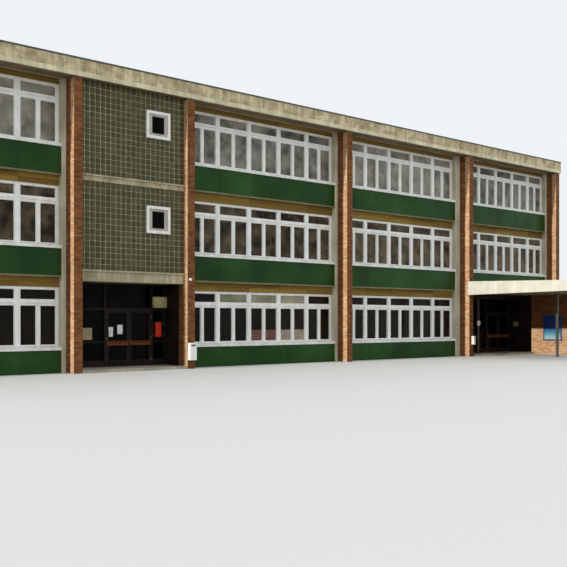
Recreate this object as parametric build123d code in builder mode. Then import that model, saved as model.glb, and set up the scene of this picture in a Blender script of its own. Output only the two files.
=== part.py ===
"""Three-storey school block in concrete, brick and green glass, modelled bay by bay, in millimetres.

X runs along the front from left to right, Y runs from the forecourt into the building and Z is up.
The origin is at ground level, in the middle of the plan of building and canopy together.
"""
import os

from build123d import *

os.makedirs("parts", exist_ok=True)

# Storeys and bays
storey_height = 3500
storeys = 3
bay_pitch = 8310
stair_pitch = 4590
wide_pitch = 8560
hall_pitch = 7810
fin_width = 320
block_depth = 10000
eaves_drop = 350

# Face lines of the front, counted from the glass line, outwards negative
fin_front = -870
fin_back = -280
column_back = 120
panel_front = -250
panel_thickness = 50
frame_front = -50
frame_thickness = 50
blind_front = -80
recess_back = 750

# Heights within a storey, counted from its floor line
panel_bottom = -150
panel_cover = 25
sill_top = 950
sill_depth = 160
head_drop = 540
slab_thickness = 300
floor_height = 100

# Columns behind the brick fins
strip_width = 170
wide_strip = 360
facing_width = 120

# Window bands of equal modules
module_width = 1530
module_overlap = 200
mullion_width = 200
meeting_width = 145
end_rail = 100
bottom_rail = 20
transom_rail = 200
light_height = 350
head_rail = 85
post_relief = 10
glass_thickness = 12
sill_nose = 50
sill_fall = 60

# Roof edge
fascia_drop = 20
fascia_height = 590
fascia_strip_height = 170
fascia_thickness = 60
fascia_strip_relief = 15
upstand_width = 200
capping_height = 50
capping_lap = 25

# Glass block walls of the stair bay
block_front = -600
block_thickness = 100
band_relief = 40
band_thickness = 200
band_drops = (320, 330)
band_rises = (80, -100)
ledge_height = 60
ledge_reach = 50
block_pitch = 200
window_columns_right = 3
window_drop = 670
window_blocks = 5
window_reach = 60
window_rebate = 45
pane_depth = 35
stair_glass_width = 530
stair_glass_height = 620

# Entrance screens and doors
screen_thickness = 100
screen_post = 80
screen_rail = 60
transom_line = 2200
stair_leaf_width = 950
stair_door_margin = 652
hall_width = 5190
hall_leaf_width = 1000
hall_door_margin = 160
leaf_thickness = 45
leaf_gap = 6
leaf_floor_gap = 10
leaf_stile = 90
leaf_kick = 220
leaf_pane = 10
knuckle_radius = 9
knuckle_height = 110
knuckle_gap = 0.3
knuckle_shares = (0.12, 0.5, 0.88)
strap_width = 34
strap_thickness = 4
bar_height = 940
bar_radius = 16
bar_reach = 64
bar_foot = 30
bar_foot_radius = 11

# Canopy and side wall
canopy_reach = 6600
canopy_width = 6360
canopy_slab_thickness = 200
canopy_lip = 100
canopy_fascia_height = 680
canopy_rise = 80
canopy_fall = 150
canopy_fascia_thickness = 120
post_size = 110
post_setback = 950
post_spacing = 2680
side_wall_reach = 2200
side_wall_thickness = 240
board_thickness = 45
board_width = 1105
board_height = 1340
board_bottom = 745
board_front = -2560
board_frame = 48
board_recess = 12

# Derived lines
pitches = (bay_pitch, stair_pitch, bay_pitch, wide_pitch, hall_pitch)
length = sum(pitches) + fin_width
roof_reach = fascia_thickness + fascia_strip_relief - fin_front
glass_line = (canopy_reach - fin_front - block_depth - roof_reach) / 2
panel_back = panel_front + panel_thickness
frame_back = frame_front + frame_thickness
block_back = block_front + block_thickness
band_front = block_front - band_relief
band_back = band_front + band_thickness

# Derived heights
eaves_height = storeys * storey_height - eaves_drop
sill_bottom = sill_top - sill_depth
head_top = storey_height - head_drop
casement_height = head_top - head_rail - light_height - transom_rail - bottom_rail - sill_top
fascia_bottom = eaves_height - fascia_drop
fascia_top = fascia_bottom + fascia_height
fascia_strip_top = fascia_bottom + fascia_strip_height
recess_top = storey_height - slab_thickness
blind_top = storey_height + panel_bottom - panel_cover
band_edges = [(storey_height * (i + 1) - drop, storey_height * (i + 1) + rise)
              for i, (drop, rise) in enumerate(zip(band_drops, band_rises))]

# Bays from left to right
fin_x = [-length / 2 + sum(pitches[:i]) for i in range(6)]
left_strips = (0, strip_width, 0, strip_width, wide_strip, strip_width)
right_strips = (strip_width, 0, strip_width, strip_width, strip_width, 0)
STAIR = 1
HALL = 4
classrooms = (0, 2, 3)
upper_rooms = (0, 2, 3, 4)
front_cells = {level: upper_rooms if level else classrooms for level in range(storeys)}
rear_cells = {level: upper_rooms for level in range(storeys)}
middle = Plane.XZ.offset(-(glass_line + block_depth / 2))


def line(offset):
    """Y of a line that lies this far behind the front glass line."""
    return glass_line + offset


def elevation(offset):
    """Upright plane at that line, drawn in X and Z, with its normal towards the forecourt."""
    return Plane.XZ.offset(-line(offset))


def rectangle(low, high, mode=Mode.ADD):
    """Rectangle between two opposite corners."""
    with Locations(low):
        Rectangle(high[0] - low[0], high[1] - low[1], align=(Align.MIN, Align.MIN), mode=mode)


def room_span(bay):
    """X of both ends of a bay between its two columns."""
    return fin_x[bay] + fin_width + right_strips[bay], fin_x[bay + 1] - left_strips[bay + 1]


def stair_span():
    """X of both ends of the stair bay between its two fins."""
    return fin_x[STAIR] + fin_width, fin_x[STAIR + 1]


def floor_line(level):
    return level * storey_height


def room_slabs(cells, back, front, bottom, top):
    """One upright slab in each bay of each storey, between two lines and two heights."""
    for level, bays in cells.items():
        with BuildSketch(elevation(back)) as profile:
            for bay in bays:
                start, end = room_span(bay)
                low = max(floor_line(level) + bottom, 0)
                rectangle((start, low), (end, min(floor_line(level) + top, eaves_height)))
        extrude(profile.sketch, amount=back - front)


def fins():
    with BuildSketch(Plane.XY) as profile:
        for x in fin_x:
            rectangle((x, line(fin_front)), (x + fin_width, line(fin_back)))
    extrude(profile.sketch, amount=eaves_height)


def columns():
    """Concrete columns, with a pale strip beside each fin on the classroom sides only."""
    last = len(fin_x) - 1
    with BuildSketch(Plane.XY) as profile:
        for i, x in enumerate(fin_x):
            start = x + fin_width if i == 0 else x - left_strips[i]
            end = x if i == last else x + fin_width + right_strips[i]
            rectangle((start, line(fin_back)), (end, line(column_back)))
    extrude(profile.sketch, amount=eaves_height)


def window_openings(bay):
    """X of both sides of each module's glass between the thick mullions."""
    start, end = room_span(bay)
    centre = (start + end) / 2
    modules = max(1, round((end - start) / module_width))
    width = (end - start + module_overlap) / modules
    edges = [centre + width * (i - modules / 2) for i in range(modules + 1)]
    lows = [start + end_rail] + [x + mullion_width / 2 for x in edges[1:-1]]
    highs = [x - mullion_width / 2 for x in edges[1:-1]] + [end - end_rail]
    return list(zip(lows, highs))


def window_frames(level, bays):
    """Timber window bands, where each module has a fixed light above two tall casements."""
    floor = floor_line(level)
    pane_low = floor + sill_top + bottom_rail
    pane_high = pane_low + casement_height
    light_low = pane_high + transom_rail
    light_high = light_low + light_height
    with BuildSketch(elevation(frame_back)) as profile:
        for bay in bays:
            start, end = room_span(bay)
            rectangle((start, floor + sill_top), (end, floor + head_top))
            for low, high in window_openings(bay):
                centre = (low + high) / 2
                rectangle((low, pane_low), (centre - meeting_width / 2, pane_high), Mode.SUBTRACT)
                rectangle((centre + meeting_width / 2, pane_low), (high, pane_high), Mode.SUBTRACT)
                rectangle((low, light_low), (high, light_high), Mode.SUBTRACT)
    extrude(profile.sketch, amount=frame_back - frame_front)
    with BuildSketch(elevation(frame_front)) as profile:
        for bay in bays:
            spans = window_openings(bay)
            for before, after in zip(spans[:-1], spans[1:]):
                rectangle((before[1], floor + sill_top), (after[0], floor + head_top))
    extrude(profile.sketch, amount=post_relief)


def sills(cells):
    """Pale sills with a sloping top that starts in front of the window."""
    nose = panel_front - sill_nose
    for level, bays in cells.items():
        floor = floor_line(level)
        for bay in bays:
            start, end = room_span(bay)
            with BuildSketch(Plane.YZ.offset(start)) as profile:
                with BuildLine():
                    Polyline((line(column_back), floor + sill_bottom), (line(nose), floor + sill_bottom),
                             (line(nose), floor + sill_top - sill_fall),
                             (line(frame_front - post_relief), floor + sill_top),
                             (line(column_back), floor + sill_top), close=True)
                make_face()
            extrude(profile.sketch, amount=end - start)


def block_wall(level):
    """Z of the bottom and top of the glass blocks on one storey of the stair bay."""
    bottom = band_edges[level - 1][1] if level else 0
    top = eaves_height if level == storeys - 1 else band_edges[level][0]
    return bottom, top


def stair_window(level):
    """X and Z of the middle of the small window in the glass blocks."""
    start, end = stair_span()
    right = end - (end - start) % block_pitch / 2 - window_columns_right * block_pitch
    high = block_wall(level)[1] - window_drop
    return right - window_blocks * block_pitch / 2, high - window_blocks * block_pitch / 2


def bands():
    """Concrete bands across the stair bay, each with a thin ledge along its top."""
    start, end = stair_span()
    for bottom, top in band_edges:
        with BuildSketch(Plane.YZ.offset(start)) as profile:
            rectangle((line(band_front), bottom), (line(band_back), top))
            rectangle((line(band_front - ledge_reach), top - ledge_height), (line(band_front), top))
        extrude(profile.sketch, amount=end - start)


def floor_slab(level):
    """Slab between the two facades, with a tongue to the glass blocks on both sides of the stair bay."""
    start, end = stair_span()
    rear = block_depth - column_back
    with BuildSketch(Plane.XY.offset(floor_line(level) - slab_thickness)) as profile:
        rectangle((fin_x[0] + fin_width, line(column_back)), (fin_x[-1], line(rear)))
        rectangle((start, line(band_back)), (end, line(column_back)))
        rectangle((start, line(rear)), (end, line(block_depth - band_back)))
    extrude(profile.sketch, amount=slab_thickness)


stair_start, stair_end = stair_span()
hall_start, store_end = room_span(HALL)
hall_end = hall_start + hall_width
store_start = hall_end + side_wall_thickness
rear_column_back = block_depth - column_back
window_size = window_blocks * block_pitch

# Floors and roof slab
with BuildPart() as ground_slab:
    with BuildSketch(Plane.XY):
        rectangle((fin_x[0] + fin_width, line(column_back)), (fin_x[-1], line(rear_column_back)))
        rectangle((stair_start, line(fin_front)), (stair_end, line(column_back)))
        rectangle((hall_start, line(fin_front)), (hall_end, line(column_back)))
        rectangle((stair_start, line(rear_column_back)), (stair_end, line(block_depth - block_back)))
        rectangle((store_start, line(fin_back)), (store_end, line(column_back)))
        rectangle((store_start, line(fin_back)), (store_end, line(fin_back + side_wall_thickness)), Mode.SUBTRACT)
        rectangle((hall_end, line(column_back)), (store_start, line(recess_back)), Mode.SUBTRACT)
    extrude(amount=floor_height)

with BuildPart() as first_floor_slab:
    floor_slab(1)

with BuildPart() as second_floor_slab:
    floor_slab(2)

with BuildPart() as roof_slab:
    with BuildSketch(Plane.XY.offset(eaves_height)):
        rectangle((-length / 2, line(fin_front)), (length / 2, line(block_depth - fin_front)))
    extrude(amount=slab_thickness)

# Roof edge
slab_top = eaves_height + slab_thickness
rear_edge = block_depth - fin_front
fascia_span = length + 2 * fascia_thickness


def fascia_section():
    """Section of the fascia board and its upstand, drawn outwards from the slab edge."""
    rectangle((0, fascia_bottom), (fascia_thickness, fascia_top))
    rectangle((0, fascia_bottom), (fascia_thickness + fascia_strip_relief, fascia_strip_top))
    rectangle((-upstand_width, slab_top), (0, fascia_top))


with BuildPart() as long_fascias:
    for edge, x_dir in ((fin_front, (0, -1, 0)), (rear_edge, (0, 1, 0))):
        side = 1 if edge == fin_front else -1
        origin = (side * fascia_span / 2, line(edge), 0)
        with BuildSketch(Plane(origin, x_dir=x_dir, z_dir=(-side, 0, 0))):
            fascia_section()
        extrude(amount=fascia_span)

with BuildPart() as end_fascias:
    for side in (-1, 1):
        origin = (side * length / 2, line(rear_edge if side > 0 else fin_front), 0)
        with BuildSketch(Plane(origin, x_dir=(side, 0, 0), z_dir=(0, -side, 0))):
            fascia_section()
        extrude(amount=rear_edge - fin_front)
    with BuildSketch(Plane.XY.offset(slab_top)):
        for edge in (fin_front + upstand_width / 2, rear_edge - upstand_width / 2):
            with Locations((0, line(edge))):
                Rectangle(fascia_span, upstand_width)
    extrude(amount=fascia_top - slab_top, mode=Mode.SUBTRACT)

with BuildPart() as long_cappings:
    with BuildSketch(Plane.XY.offset(fascia_top)):
        for edge in (fin_front, rear_edge):
            outward = -1 if edge == fin_front else 1
            near = edge - outward * (upstand_width + capping_lap)
            far = edge + outward * (fascia_thickness + capping_lap)
            reach = fascia_span / 2 + capping_lap
            rectangle((-reach, line(min(near, far))), (reach, line(max(near, far))))
    extrude(amount=capping_height)

with BuildPart() as end_cappings:
    inner = upstand_width + capping_lap
    with BuildSketch(Plane.XY.offset(fascia_top)):
        for side in (-1, 1):
            far = side * (fascia_span / 2 + capping_lap)
            near = side * (length / 2 - inner)
            rectangle((min(near, far), line(fin_front + inner)), (max(near, far), line(rear_edge - inner)))
    extrude(amount=capping_height)

# End walls, fins and columns
with BuildPart() as end_walls:
    with BuildSketch(Plane.XY):
        for x in (fin_x[0], fin_x[-1]):
            rectangle((x, line(fin_back)), (x + fin_width, line(block_depth - fin_back)))
    extrude(amount=eaves_height)

with BuildPart() as front_fins:
    fins()

with BuildPart() as rear_fins:
    fins()
    mirror(about=middle, mode=Mode.REPLACE)

with BuildPart() as front_columns:
    columns()
    with BuildSketch(Plane.XY.offset(floor_height)):
        rectangle((stair_start - facing_width, line(fin_back)), (stair_start, line(column_back)))
        rectangle((stair_end, line(fin_back)), (stair_end + facing_width, line(column_back)))
    extrude(amount=recess_top - floor_height, mode=Mode.SUBTRACT)

with BuildPart() as rear_columns:
    columns()
    mirror(about=middle, mode=Mode.REPLACE)

# Walls below the windows, green panels, sills and blind boxes
with BuildPart() as front_parapets:
    room_slabs(front_cells, column_back, panel_back, panel_bottom - panel_cover, sill_bottom)

with BuildPart() as rear_parapets:
    room_slabs(rear_cells, column_back, panel_back, panel_bottom - panel_cover, sill_bottom)
    mirror(about=middle, mode=Mode.REPLACE)

with BuildPart() as front_spandrels:
    room_slabs(front_cells, panel_back, panel_front, panel_bottom, sill_bottom)

with BuildPart() as rear_spandrels:
    room_slabs(rear_cells, panel_back, panel_front, panel_bottom, sill_bottom)
    mirror(about=middle, mode=Mode.REPLACE)

with BuildPart() as front_sills:
    sills(front_cells)

with BuildPart() as rear_sills:
    sills(rear_cells)
    mirror(about=middle, mode=Mode.REPLACE)

with BuildPart() as front_blind_boxes:
    room_slabs(rear_cells, column_back, blind_front, head_top, blind_top)
    with BuildSketch(elevation(column_back)):
        rectangle((hall_end, head_top), (store_end, blind_top))
    extrude(amount=column_back - blind_front, mode=Mode.SUBTRACT)

with BuildPart() as rear_blind_boxes:
    room_slabs(rear_cells, column_back, blind_front, head_top, blind_top)
    mirror(about=middle, mode=Mode.REPLACE)

# Window bands
with BuildPart() as front_windows_ground:
    window_frames(0, front_cells[0])

with BuildPart() as front_windows_first:
    window_frames(1, front_cells[1])

with BuildPart() as front_windows_second:
    window_frames(2, front_cells[2])

with BuildPart() as rear_windows:
    for level, bays in rear_cells.items():
        window_frames(level, bays)
    mirror(about=middle, mode=Mode.REPLACE)

glass_back = frame_back + glass_thickness

with BuildPart() as front_glass:
    room_slabs(front_cells, glass_back, frame_back, sill_top, head_top)

with BuildPart() as rear_glass:
    room_slabs(rear_cells, glass_back, frame_back, sill_top, head_top)
    mirror(about=middle, mode=Mode.REPLACE)

# Stair bay above the entrance
with BuildPart() as front_glass_blocks:
    with BuildSketch(elevation(block_back)):
        for level in range(1, storeys):
            low, high = block_wall(level)
            rectangle((stair_start, low), (stair_end, high))
            with Locations(stair_window(level)):
                Rectangle(window_size, window_size, mode=Mode.SUBTRACT)
    extrude(amount=block_back - block_front)

with BuildPart() as rear_glass_blocks:
    with BuildSketch(elevation(block_back)):
        for level in range(storeys):
            low, high = block_wall(level)
            rectangle((stair_start, low), (stair_end, high))
    extrude(amount=block_back - block_front)
    mirror(about=middle, mode=Mode.REPLACE)

with BuildPart() as front_bands:
    bands()

with BuildPart() as rear_bands:
    bands()
    mirror(about=middle, mode=Mode.REPLACE)

pane_front = block_front - window_reach + pane_depth
pane_width = stair_glass_width + 2 * window_rebate
pane_height = stair_glass_height + 2 * window_rebate

with BuildPart() as stair_window_frames:
    with BuildSketch(elevation(block_back)):
        for level in range(1, storeys):
            with Locations(stair_window(level)):
                Rectangle(window_size, window_size)
                Rectangle(pane_width, pane_height, mode=Mode.SUBTRACT)
    extrude(amount=block_back - pane_front)
    with BuildSketch(elevation(pane_front)):
        for level in range(1, storeys):
            with Locations(stair_window(level)):
                Rectangle(window_size, window_size)
                Rectangle(stair_glass_width, stair_glass_height, mode=Mode.SUBTRACT)
    extrude(amount=pane_depth)

with BuildPart() as stair_window_glass:
    with BuildSketch(elevation(pane_front + glass_thickness)):
        for level in range(1, storeys):
            with Locations(stair_window(level)):
                Rectangle(pane_width, pane_height)
    extrude(amount=glass_thickness)

# Recess walls
with BuildPart() as stair_recess_walls:
    with BuildSketch(Plane.XY.offset(floor_height)):
        rectangle((stair_start - facing_width, line(fin_back)), (stair_start, line(recess_back)))
        rectangle((stair_end, line(fin_back)), (stair_end + facing_width, line(recess_back)))
    extrude(amount=recess_top - floor_height)

with BuildPart() as hall_recess_wall:
    with BuildSketch(Plane.XY.offset(floor_height)):
        rectangle((hall_start - facing_width, line(column_back)), (hall_start, line(recess_back)))
    extrude(amount=recess_top - floor_height)

with BuildPart() as hall_side_wall:
    with BuildSketch(Plane.XY):
        rectangle((hall_end, line(fin_front - side_wall_reach)), (store_start, line(recess_back)))
    extrude(amount=recess_top)
    with BuildSketch(Plane.XY):
        rectangle((hall_end, line(fin_back)), (store_end, line(fin_back + side_wall_thickness)))
    extrude(amount=blind_top)

# Entrance screens
screen_front = recess_back - screen_thickness
transom_top = transom_line + screen_post


def screen_lights(start, end, door_start, door_end):
    """X of both sides of each fixed light beside the doorway."""
    left = (start + screen_rail, door_start - screen_post)
    right = (door_end + screen_post, end - screen_rail)
    lights = []
    for low, high in (left, right):
        if high <= low:
            continue
        count = max(1, round((high - low) / (module_width - screen_post)))
        width = (high - low - (count - 1) * screen_post) / count
        lights += [(low + i * (width + screen_post), low + i * (width + screen_post) + width)
                   for i in range(count)]
    return lights


def screen(start, end, door_start, door_end):
    """Frame of fixed lights with a doorway, and lights above its transom."""
    lights = screen_lights(start, end, door_start, door_end)
    with BuildSketch(elevation(recess_back)) as profile:
        rectangle((start, floor_height), (end, recess_top))
        for low, high in lights:
            rectangle((low, floor_height + leaf_kick), (high, transom_line), Mode.SUBTRACT)
            rectangle((low, transom_top), (high, recess_top - screen_rail), Mode.SUBTRACT)
        rectangle((door_start, floor_height), (door_end, transom_line), Mode.SUBTRACT)
        rectangle((door_start, transom_top), (door_end, recess_top - screen_rail), Mode.SUBTRACT)
    extrude(profile.sketch, amount=screen_thickness)


def screen_glass(start, end, door_start, door_end):
    """Glass behind the lights of one screen, beside the doorway and above it."""
    edge = screen_rail / 2
    with BuildSketch(elevation(recess_back + glass_thickness)) as profile:
        rectangle((start, floor_height + edge), (door_start - edge, recess_top))
        if end - door_end > 2 * screen_post:
            rectangle((door_end + edge, floor_height + edge), (end, recess_top))
        rectangle((door_start - edge, transom_line + edge), (door_end + edge, recess_top))
    extrude(profile.sketch, amount=glass_thickness)


def doorway(end, margin, leaf_width):
    """X of both sides of a doorway for two leaves, at a margin from the right end of its screen."""
    return end - margin - 2 * leaf_width - 3 * leaf_gap, end - margin


stair_door = doorway(stair_end, stair_door_margin, stair_leaf_width)
hall_door = doorway(hall_end, hall_door_margin, hall_leaf_width)

with BuildPart() as stair_screen:
    screen(stair_start, stair_end, *stair_door)

with BuildPart() as hall_screen:
    screen(hall_start, hall_end, *hall_door)

with BuildPart() as entrance_glass:
    screen_glass(stair_start, stair_end, *stair_door)
    screen_glass(hall_start, hall_end, *hall_door)

# Door leaves, hinged at the outer sides and opening towards the forecourt
leaf_bottom = floor_height + leaf_floor_gap
leaf_top = transom_line - leaf_gap


def push_bar(low, high):
    """Round bar across a leaf between its stiles, on a foot at each end."""
    z = floor_height + bar_height
    with BuildSketch(Plane.YZ.offset(low)) as profile:
        with Locations((line(screen_front - bar_reach), z)):
            Circle(bar_radius)
    extrude(profile.sketch, amount=high - low)
    with BuildSketch(elevation(screen_front)) as profile:
        for x in (low + bar_foot, high - bar_foot):
            with Locations((x, z)):
                Circle(bar_foot_radius)
    extrude(profile.sketch, amount=bar_reach)


def door_leaf(hinge_side, width, inward):
    """Glazed leaf with three hinge knuckles; inward is 1 where the leaf runs towards +X."""
    far_side = hinge_side + inward * width
    low, high = min(hinge_side, far_side), max(hinge_side, far_side)
    with BuildSketch(elevation(screen_front + leaf_thickness)) as profile:
        rectangle((low, leaf_bottom), (high, leaf_top))
        rectangle((low + leaf_stile, leaf_bottom + leaf_kick), (high - leaf_stile, leaf_top - leaf_stile),
                  Mode.SUBTRACT)
    extrude(profile.sketch, amount=leaf_thickness)
    with BuildSketch(elevation(screen_front + (leaf_thickness + leaf_pane) / 2)) as profile:
        rectangle((low + leaf_stile, leaf_bottom + leaf_kick), (high - leaf_stile, leaf_top - leaf_stile))
    extrude(profile.sketch, amount=leaf_pane)
    push_bar(low + leaf_stile / 2, high - leaf_stile / 2)
    axis_x = hinge_side - inward * leaf_gap / 2
    axis_y = line(screen_front) - knuckle_gap - knuckle_radius
    strap_end = hinge_side + inward * strap_width
    height = leaf_top - leaf_bottom
    for share in knuckle_shares:
        bottom = leaf_bottom + share * height - knuckle_height / 2
        with BuildSketch(Plane.XY.offset(bottom)) as profile:
            with Locations((axis_x, axis_y)):
                Circle(knuckle_radius)
            rectangle((min(axis_x, strap_end), line(screen_front) - knuckle_gap - strap_thickness),
                      (max(axis_x, strap_end), line(screen_front) - knuckle_gap))
            rectangle((min(hinge_side, strap_end), line(screen_front) - strap_thickness),
                      (max(hinge_side, strap_end), line(screen_front)))
        extrude(profile.sketch, amount=knuckle_height)


with BuildPart() as stair_door_left:
    door_leaf(stair_door[0] + leaf_gap, stair_leaf_width, 1)

with BuildPart() as stair_door_right:
    door_leaf(stair_door[1] - leaf_gap, stair_leaf_width, -1)

with BuildPart() as hall_door_left:
    door_leaf(hall_door[0] + leaf_gap, hall_leaf_width, 1)

with BuildPart() as hall_door_right:
    door_leaf(hall_door[1] - leaf_gap, hall_leaf_width, -1)

# Canopy over the hall entrance
canopy_left = fin_x[HALL]
canopy_right = canopy_left + canopy_width
canopy_front = fin_front - canopy_reach
canopy_middle = (canopy_left + canopy_right) / 2
canopy_fascia_bottom = recess_top - canopy_lip
canopy_fascia_top = canopy_fascia_bottom + canopy_fascia_height
canopy_edge_bottom = canopy_fascia_bottom + canopy_rise
canopy_edge_top = canopy_fascia_top - canopy_fall

with BuildPart() as canopy_slab:
    with BuildSketch(Plane.XY.offset(recess_top)):
        rectangle((canopy_left, line(canopy_front + canopy_fascia_thickness)), (canopy_right, line(fin_front)))
        rectangle((fin_x[HALL] + fin_width, line(fin_front)), (canopy_right, line(fin_back)))
        rectangle((hall_start, line(fin_back)), (hall_end, line(panel_front)))
    extrude(amount=canopy_slab_thickness)

with BuildPart() as canopy_side_fascias:
    for start in (canopy_left - canopy_fascia_thickness, canopy_right):
        with BuildSketch(Plane.YZ.offset(start)):
            with BuildLine():
                Polyline((line(fin_front), canopy_fascia_bottom), (line(fin_front), canopy_fascia_top),
                         (line(canopy_front), canopy_edge_top), (line(canopy_front), canopy_edge_bottom),
                         close=True)
            make_face()
        extrude(amount=canopy_fascia_thickness)

with BuildPart() as canopy_front_fascia:
    with BuildSketch(Plane.XY.offset(canopy_edge_bottom)):
        rectangle((canopy_left, line(canopy_front)),
                  (canopy_right, line(canopy_front + canopy_fascia_thickness)))
    extrude(amount=canopy_edge_top - canopy_edge_bottom)

with BuildPart() as canopy_posts:
    with BuildSketch(Plane.XY):
        for setback in (post_setback, post_setback + post_spacing):
            with Locations((canopy_middle, line(canopy_front + setback))):
                Rectangle(post_size, post_size)
    extrude(amount=recess_top)

with BuildPart() as notice_board:
    with BuildSketch(Plane.YZ.offset(hall_end - board_thickness)):
        rectangle((line(board_front), board_bottom),
                  (line(board_front + board_width), board_bottom + board_height))
    extrude(amount=board_thickness)
    with BuildSketch(Plane.YZ.offset(hall_end - board_thickness)):
        rectangle((line(board_front + board_frame), board_bottom + board_frame),
                  (line(board_front + board_width - board_frame), board_bottom + board_height - board_frame))
    extrude(amount=board_recess, mode=Mode.SUBTRACT)

pieces = {
    "ground_slab": ground_slab,
    "first_floor_slab": first_floor_slab,
    "second_floor_slab": second_floor_slab,
    "roof_slab": roof_slab,
    "long_fascias": long_fascias,
    "end_fascias": end_fascias,
    "long_cappings": long_cappings,
    "end_cappings": end_cappings,
    "end_walls": end_walls,
    "front_fins": front_fins,
    "rear_fins": rear_fins,
    "front_columns": front_columns,
    "rear_columns": rear_columns,
    "front_parapets": front_parapets,
    "rear_parapets": rear_parapets,
    "front_spandrels": front_spandrels,
    "rear_spandrels": rear_spandrels,
    "front_sills": front_sills,
    "rear_sills": rear_sills,
    "front_blind_boxes": front_blind_boxes,
    "rear_blind_boxes": rear_blind_boxes,
    "front_windows_ground": front_windows_ground,
    "front_windows_first": front_windows_first,
    "front_windows_second": front_windows_second,
    "rear_windows": rear_windows,
    "front_glass": front_glass,
    "rear_glass": rear_glass,
    "front_glass_blocks": front_glass_blocks,
    "rear_glass_blocks": rear_glass_blocks,
    "front_bands": front_bands,
    "rear_bands": rear_bands,
    "stair_window_frames": stair_window_frames,
    "stair_window_glass": stair_window_glass,
    "stair_recess_walls": stair_recess_walls,
    "stair_screen": stair_screen,
    "hall_recess_wall": hall_recess_wall,
    "hall_side_wall": hall_side_wall,
    "hall_screen": hall_screen,
    "entrance_glass": entrance_glass,
    "stair_door_left": stair_door_left,
    "stair_door_right": stair_door_right,
    "hall_door_left": hall_door_left,
    "hall_door_right": hall_door_right,
    "canopy_slab": canopy_slab,
    "canopy_side_fascias": canopy_side_fascias,
    "canopy_front_fascia": canopy_front_fascia,
    "canopy_posts": canopy_posts,
    "notice_board": notice_board,
}

for name, piece in pieces.items():
    piece.part.label = name
    export_step(piece.part, f"parts/{name}.step")
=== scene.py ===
# %% [markdown]
# # A school block from the 1960s
# The building is a concrete skeleton of three storeys. Brick fins stand in front of its columns, and between
# them run bands of timber windows over dark green glass panels. One narrow bay holds the stair behind glass
# blocks, and the last bay holds the hall entrance under a canopy.
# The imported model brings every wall, slab and frame at its real size. This script gives each of them its
# finish, and adds what is too small or too often repeated for the model: bricks, panels, blocks and beads.

import math

import bpy
import numpy as np
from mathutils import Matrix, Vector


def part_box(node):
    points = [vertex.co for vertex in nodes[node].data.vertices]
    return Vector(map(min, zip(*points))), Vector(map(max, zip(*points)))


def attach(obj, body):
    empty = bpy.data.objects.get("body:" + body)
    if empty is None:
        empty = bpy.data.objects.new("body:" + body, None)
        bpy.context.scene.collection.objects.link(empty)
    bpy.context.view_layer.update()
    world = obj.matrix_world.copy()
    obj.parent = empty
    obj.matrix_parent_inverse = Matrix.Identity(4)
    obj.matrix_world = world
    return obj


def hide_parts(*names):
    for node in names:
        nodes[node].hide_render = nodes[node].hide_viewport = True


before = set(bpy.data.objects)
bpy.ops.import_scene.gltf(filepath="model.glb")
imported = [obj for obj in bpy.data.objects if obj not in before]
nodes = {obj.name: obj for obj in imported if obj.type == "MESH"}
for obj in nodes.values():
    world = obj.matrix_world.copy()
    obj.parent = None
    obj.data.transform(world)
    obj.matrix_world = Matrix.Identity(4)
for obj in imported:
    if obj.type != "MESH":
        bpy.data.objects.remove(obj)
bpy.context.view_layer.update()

# %% [markdown]
# ## The camera
# The picture was taken from in front at eye height, with a level camera, so all uprights stay upright.
# The horizon lies below the middle of the picture, which a small vertical shift gives without a tilt.

# %% Camera
LENS = 53.3
SENSOR = 36.0
SHIFT = 0.0658
TURN = math.radians(39.9)
EYE = (-23.455, -29.02, 1.80)
FARTHEST = 500.0

scene = bpy.context.scene
camera_data = bpy.data.cameras.new("forecourt_camera")
camera_data.lens, camera_data.sensor_width = LENS, SENSOR
camera_data.shift_y, camera_data.clip_end = SHIFT, FARTHEST
camera = bpy.data.objects.new("forecourt_camera", camera_data)
camera.location = EYE
camera.rotation_euler = (math.pi / 2, 0.0, -TURN)
scene.collection.objects.link(camera)
scene.camera = camera
print("camera at", EYE, "turned", round(math.degrees(TURN), 1), "degrees to the right")

# %% [markdown]
# ## Light
# A pale world lights everything evenly, as an overcast sky does, and a colour then renders about as it is
# written. One low lamp shines almost along the front from the left, so each fin hides most of the next one and
# only the outer edge of its brick side is lit, as in the picture. The pale background is made by the world's
# colour for camera, glossy and transmission rays alone, so it adds no light to the building.
# The world and every material are made of nodes, so one helper adds a node and joins its inputs.

# %% Helpers for nodes
def add(owner, kind, inputs=None, **settings):
    """Outputs of a new node of a material or the world; inputs are values or outputs, by name or number."""
    tree = owner.node_tree
    node = tree.nodes.new("ShaderNode" + kind)
    for name, value in settings.items():
        setattr(node, name, value)
    for socket, value in (inputs or {}).items():
        if isinstance(value, bpy.types.NodeSocket):
            tree.links.new(value, node.inputs[socket])
        else:
            node.inputs[socket].default_value = value
    return node.outputs


def reckon(owner, operation, first, second=0.5):
    """Result of one step of arithmetic with two values."""
    return add(owner, "Math", {0: first, 1: second}, operation=operation)[0]


def seen_straight(owner):
    """1 for rays from the camera, off gloss and through glass, and 0 for the rays that light things."""
    ray = add(owner, "LightPath")
    shown = reckon(owner, "MAXIMUM", ray["Is Camera Ray"], ray["Is Glossy Ray"])
    return reckon(owner, "MAXIMUM", shown, ray["Is Transmission Ray"])


print("helpers for nodes:", add.__name__, reckon.__name__, seen_straight.__name__)

# %% Sky and lamp
SKY_LEVEL = 1.08
LAMP_LEVEL = 3.2
LAMP_WIDTH = math.radians(0.8)
LAMP_HEIGHT = math.radians(16.8)
LAMP_SIDE = math.radians(88)

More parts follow.
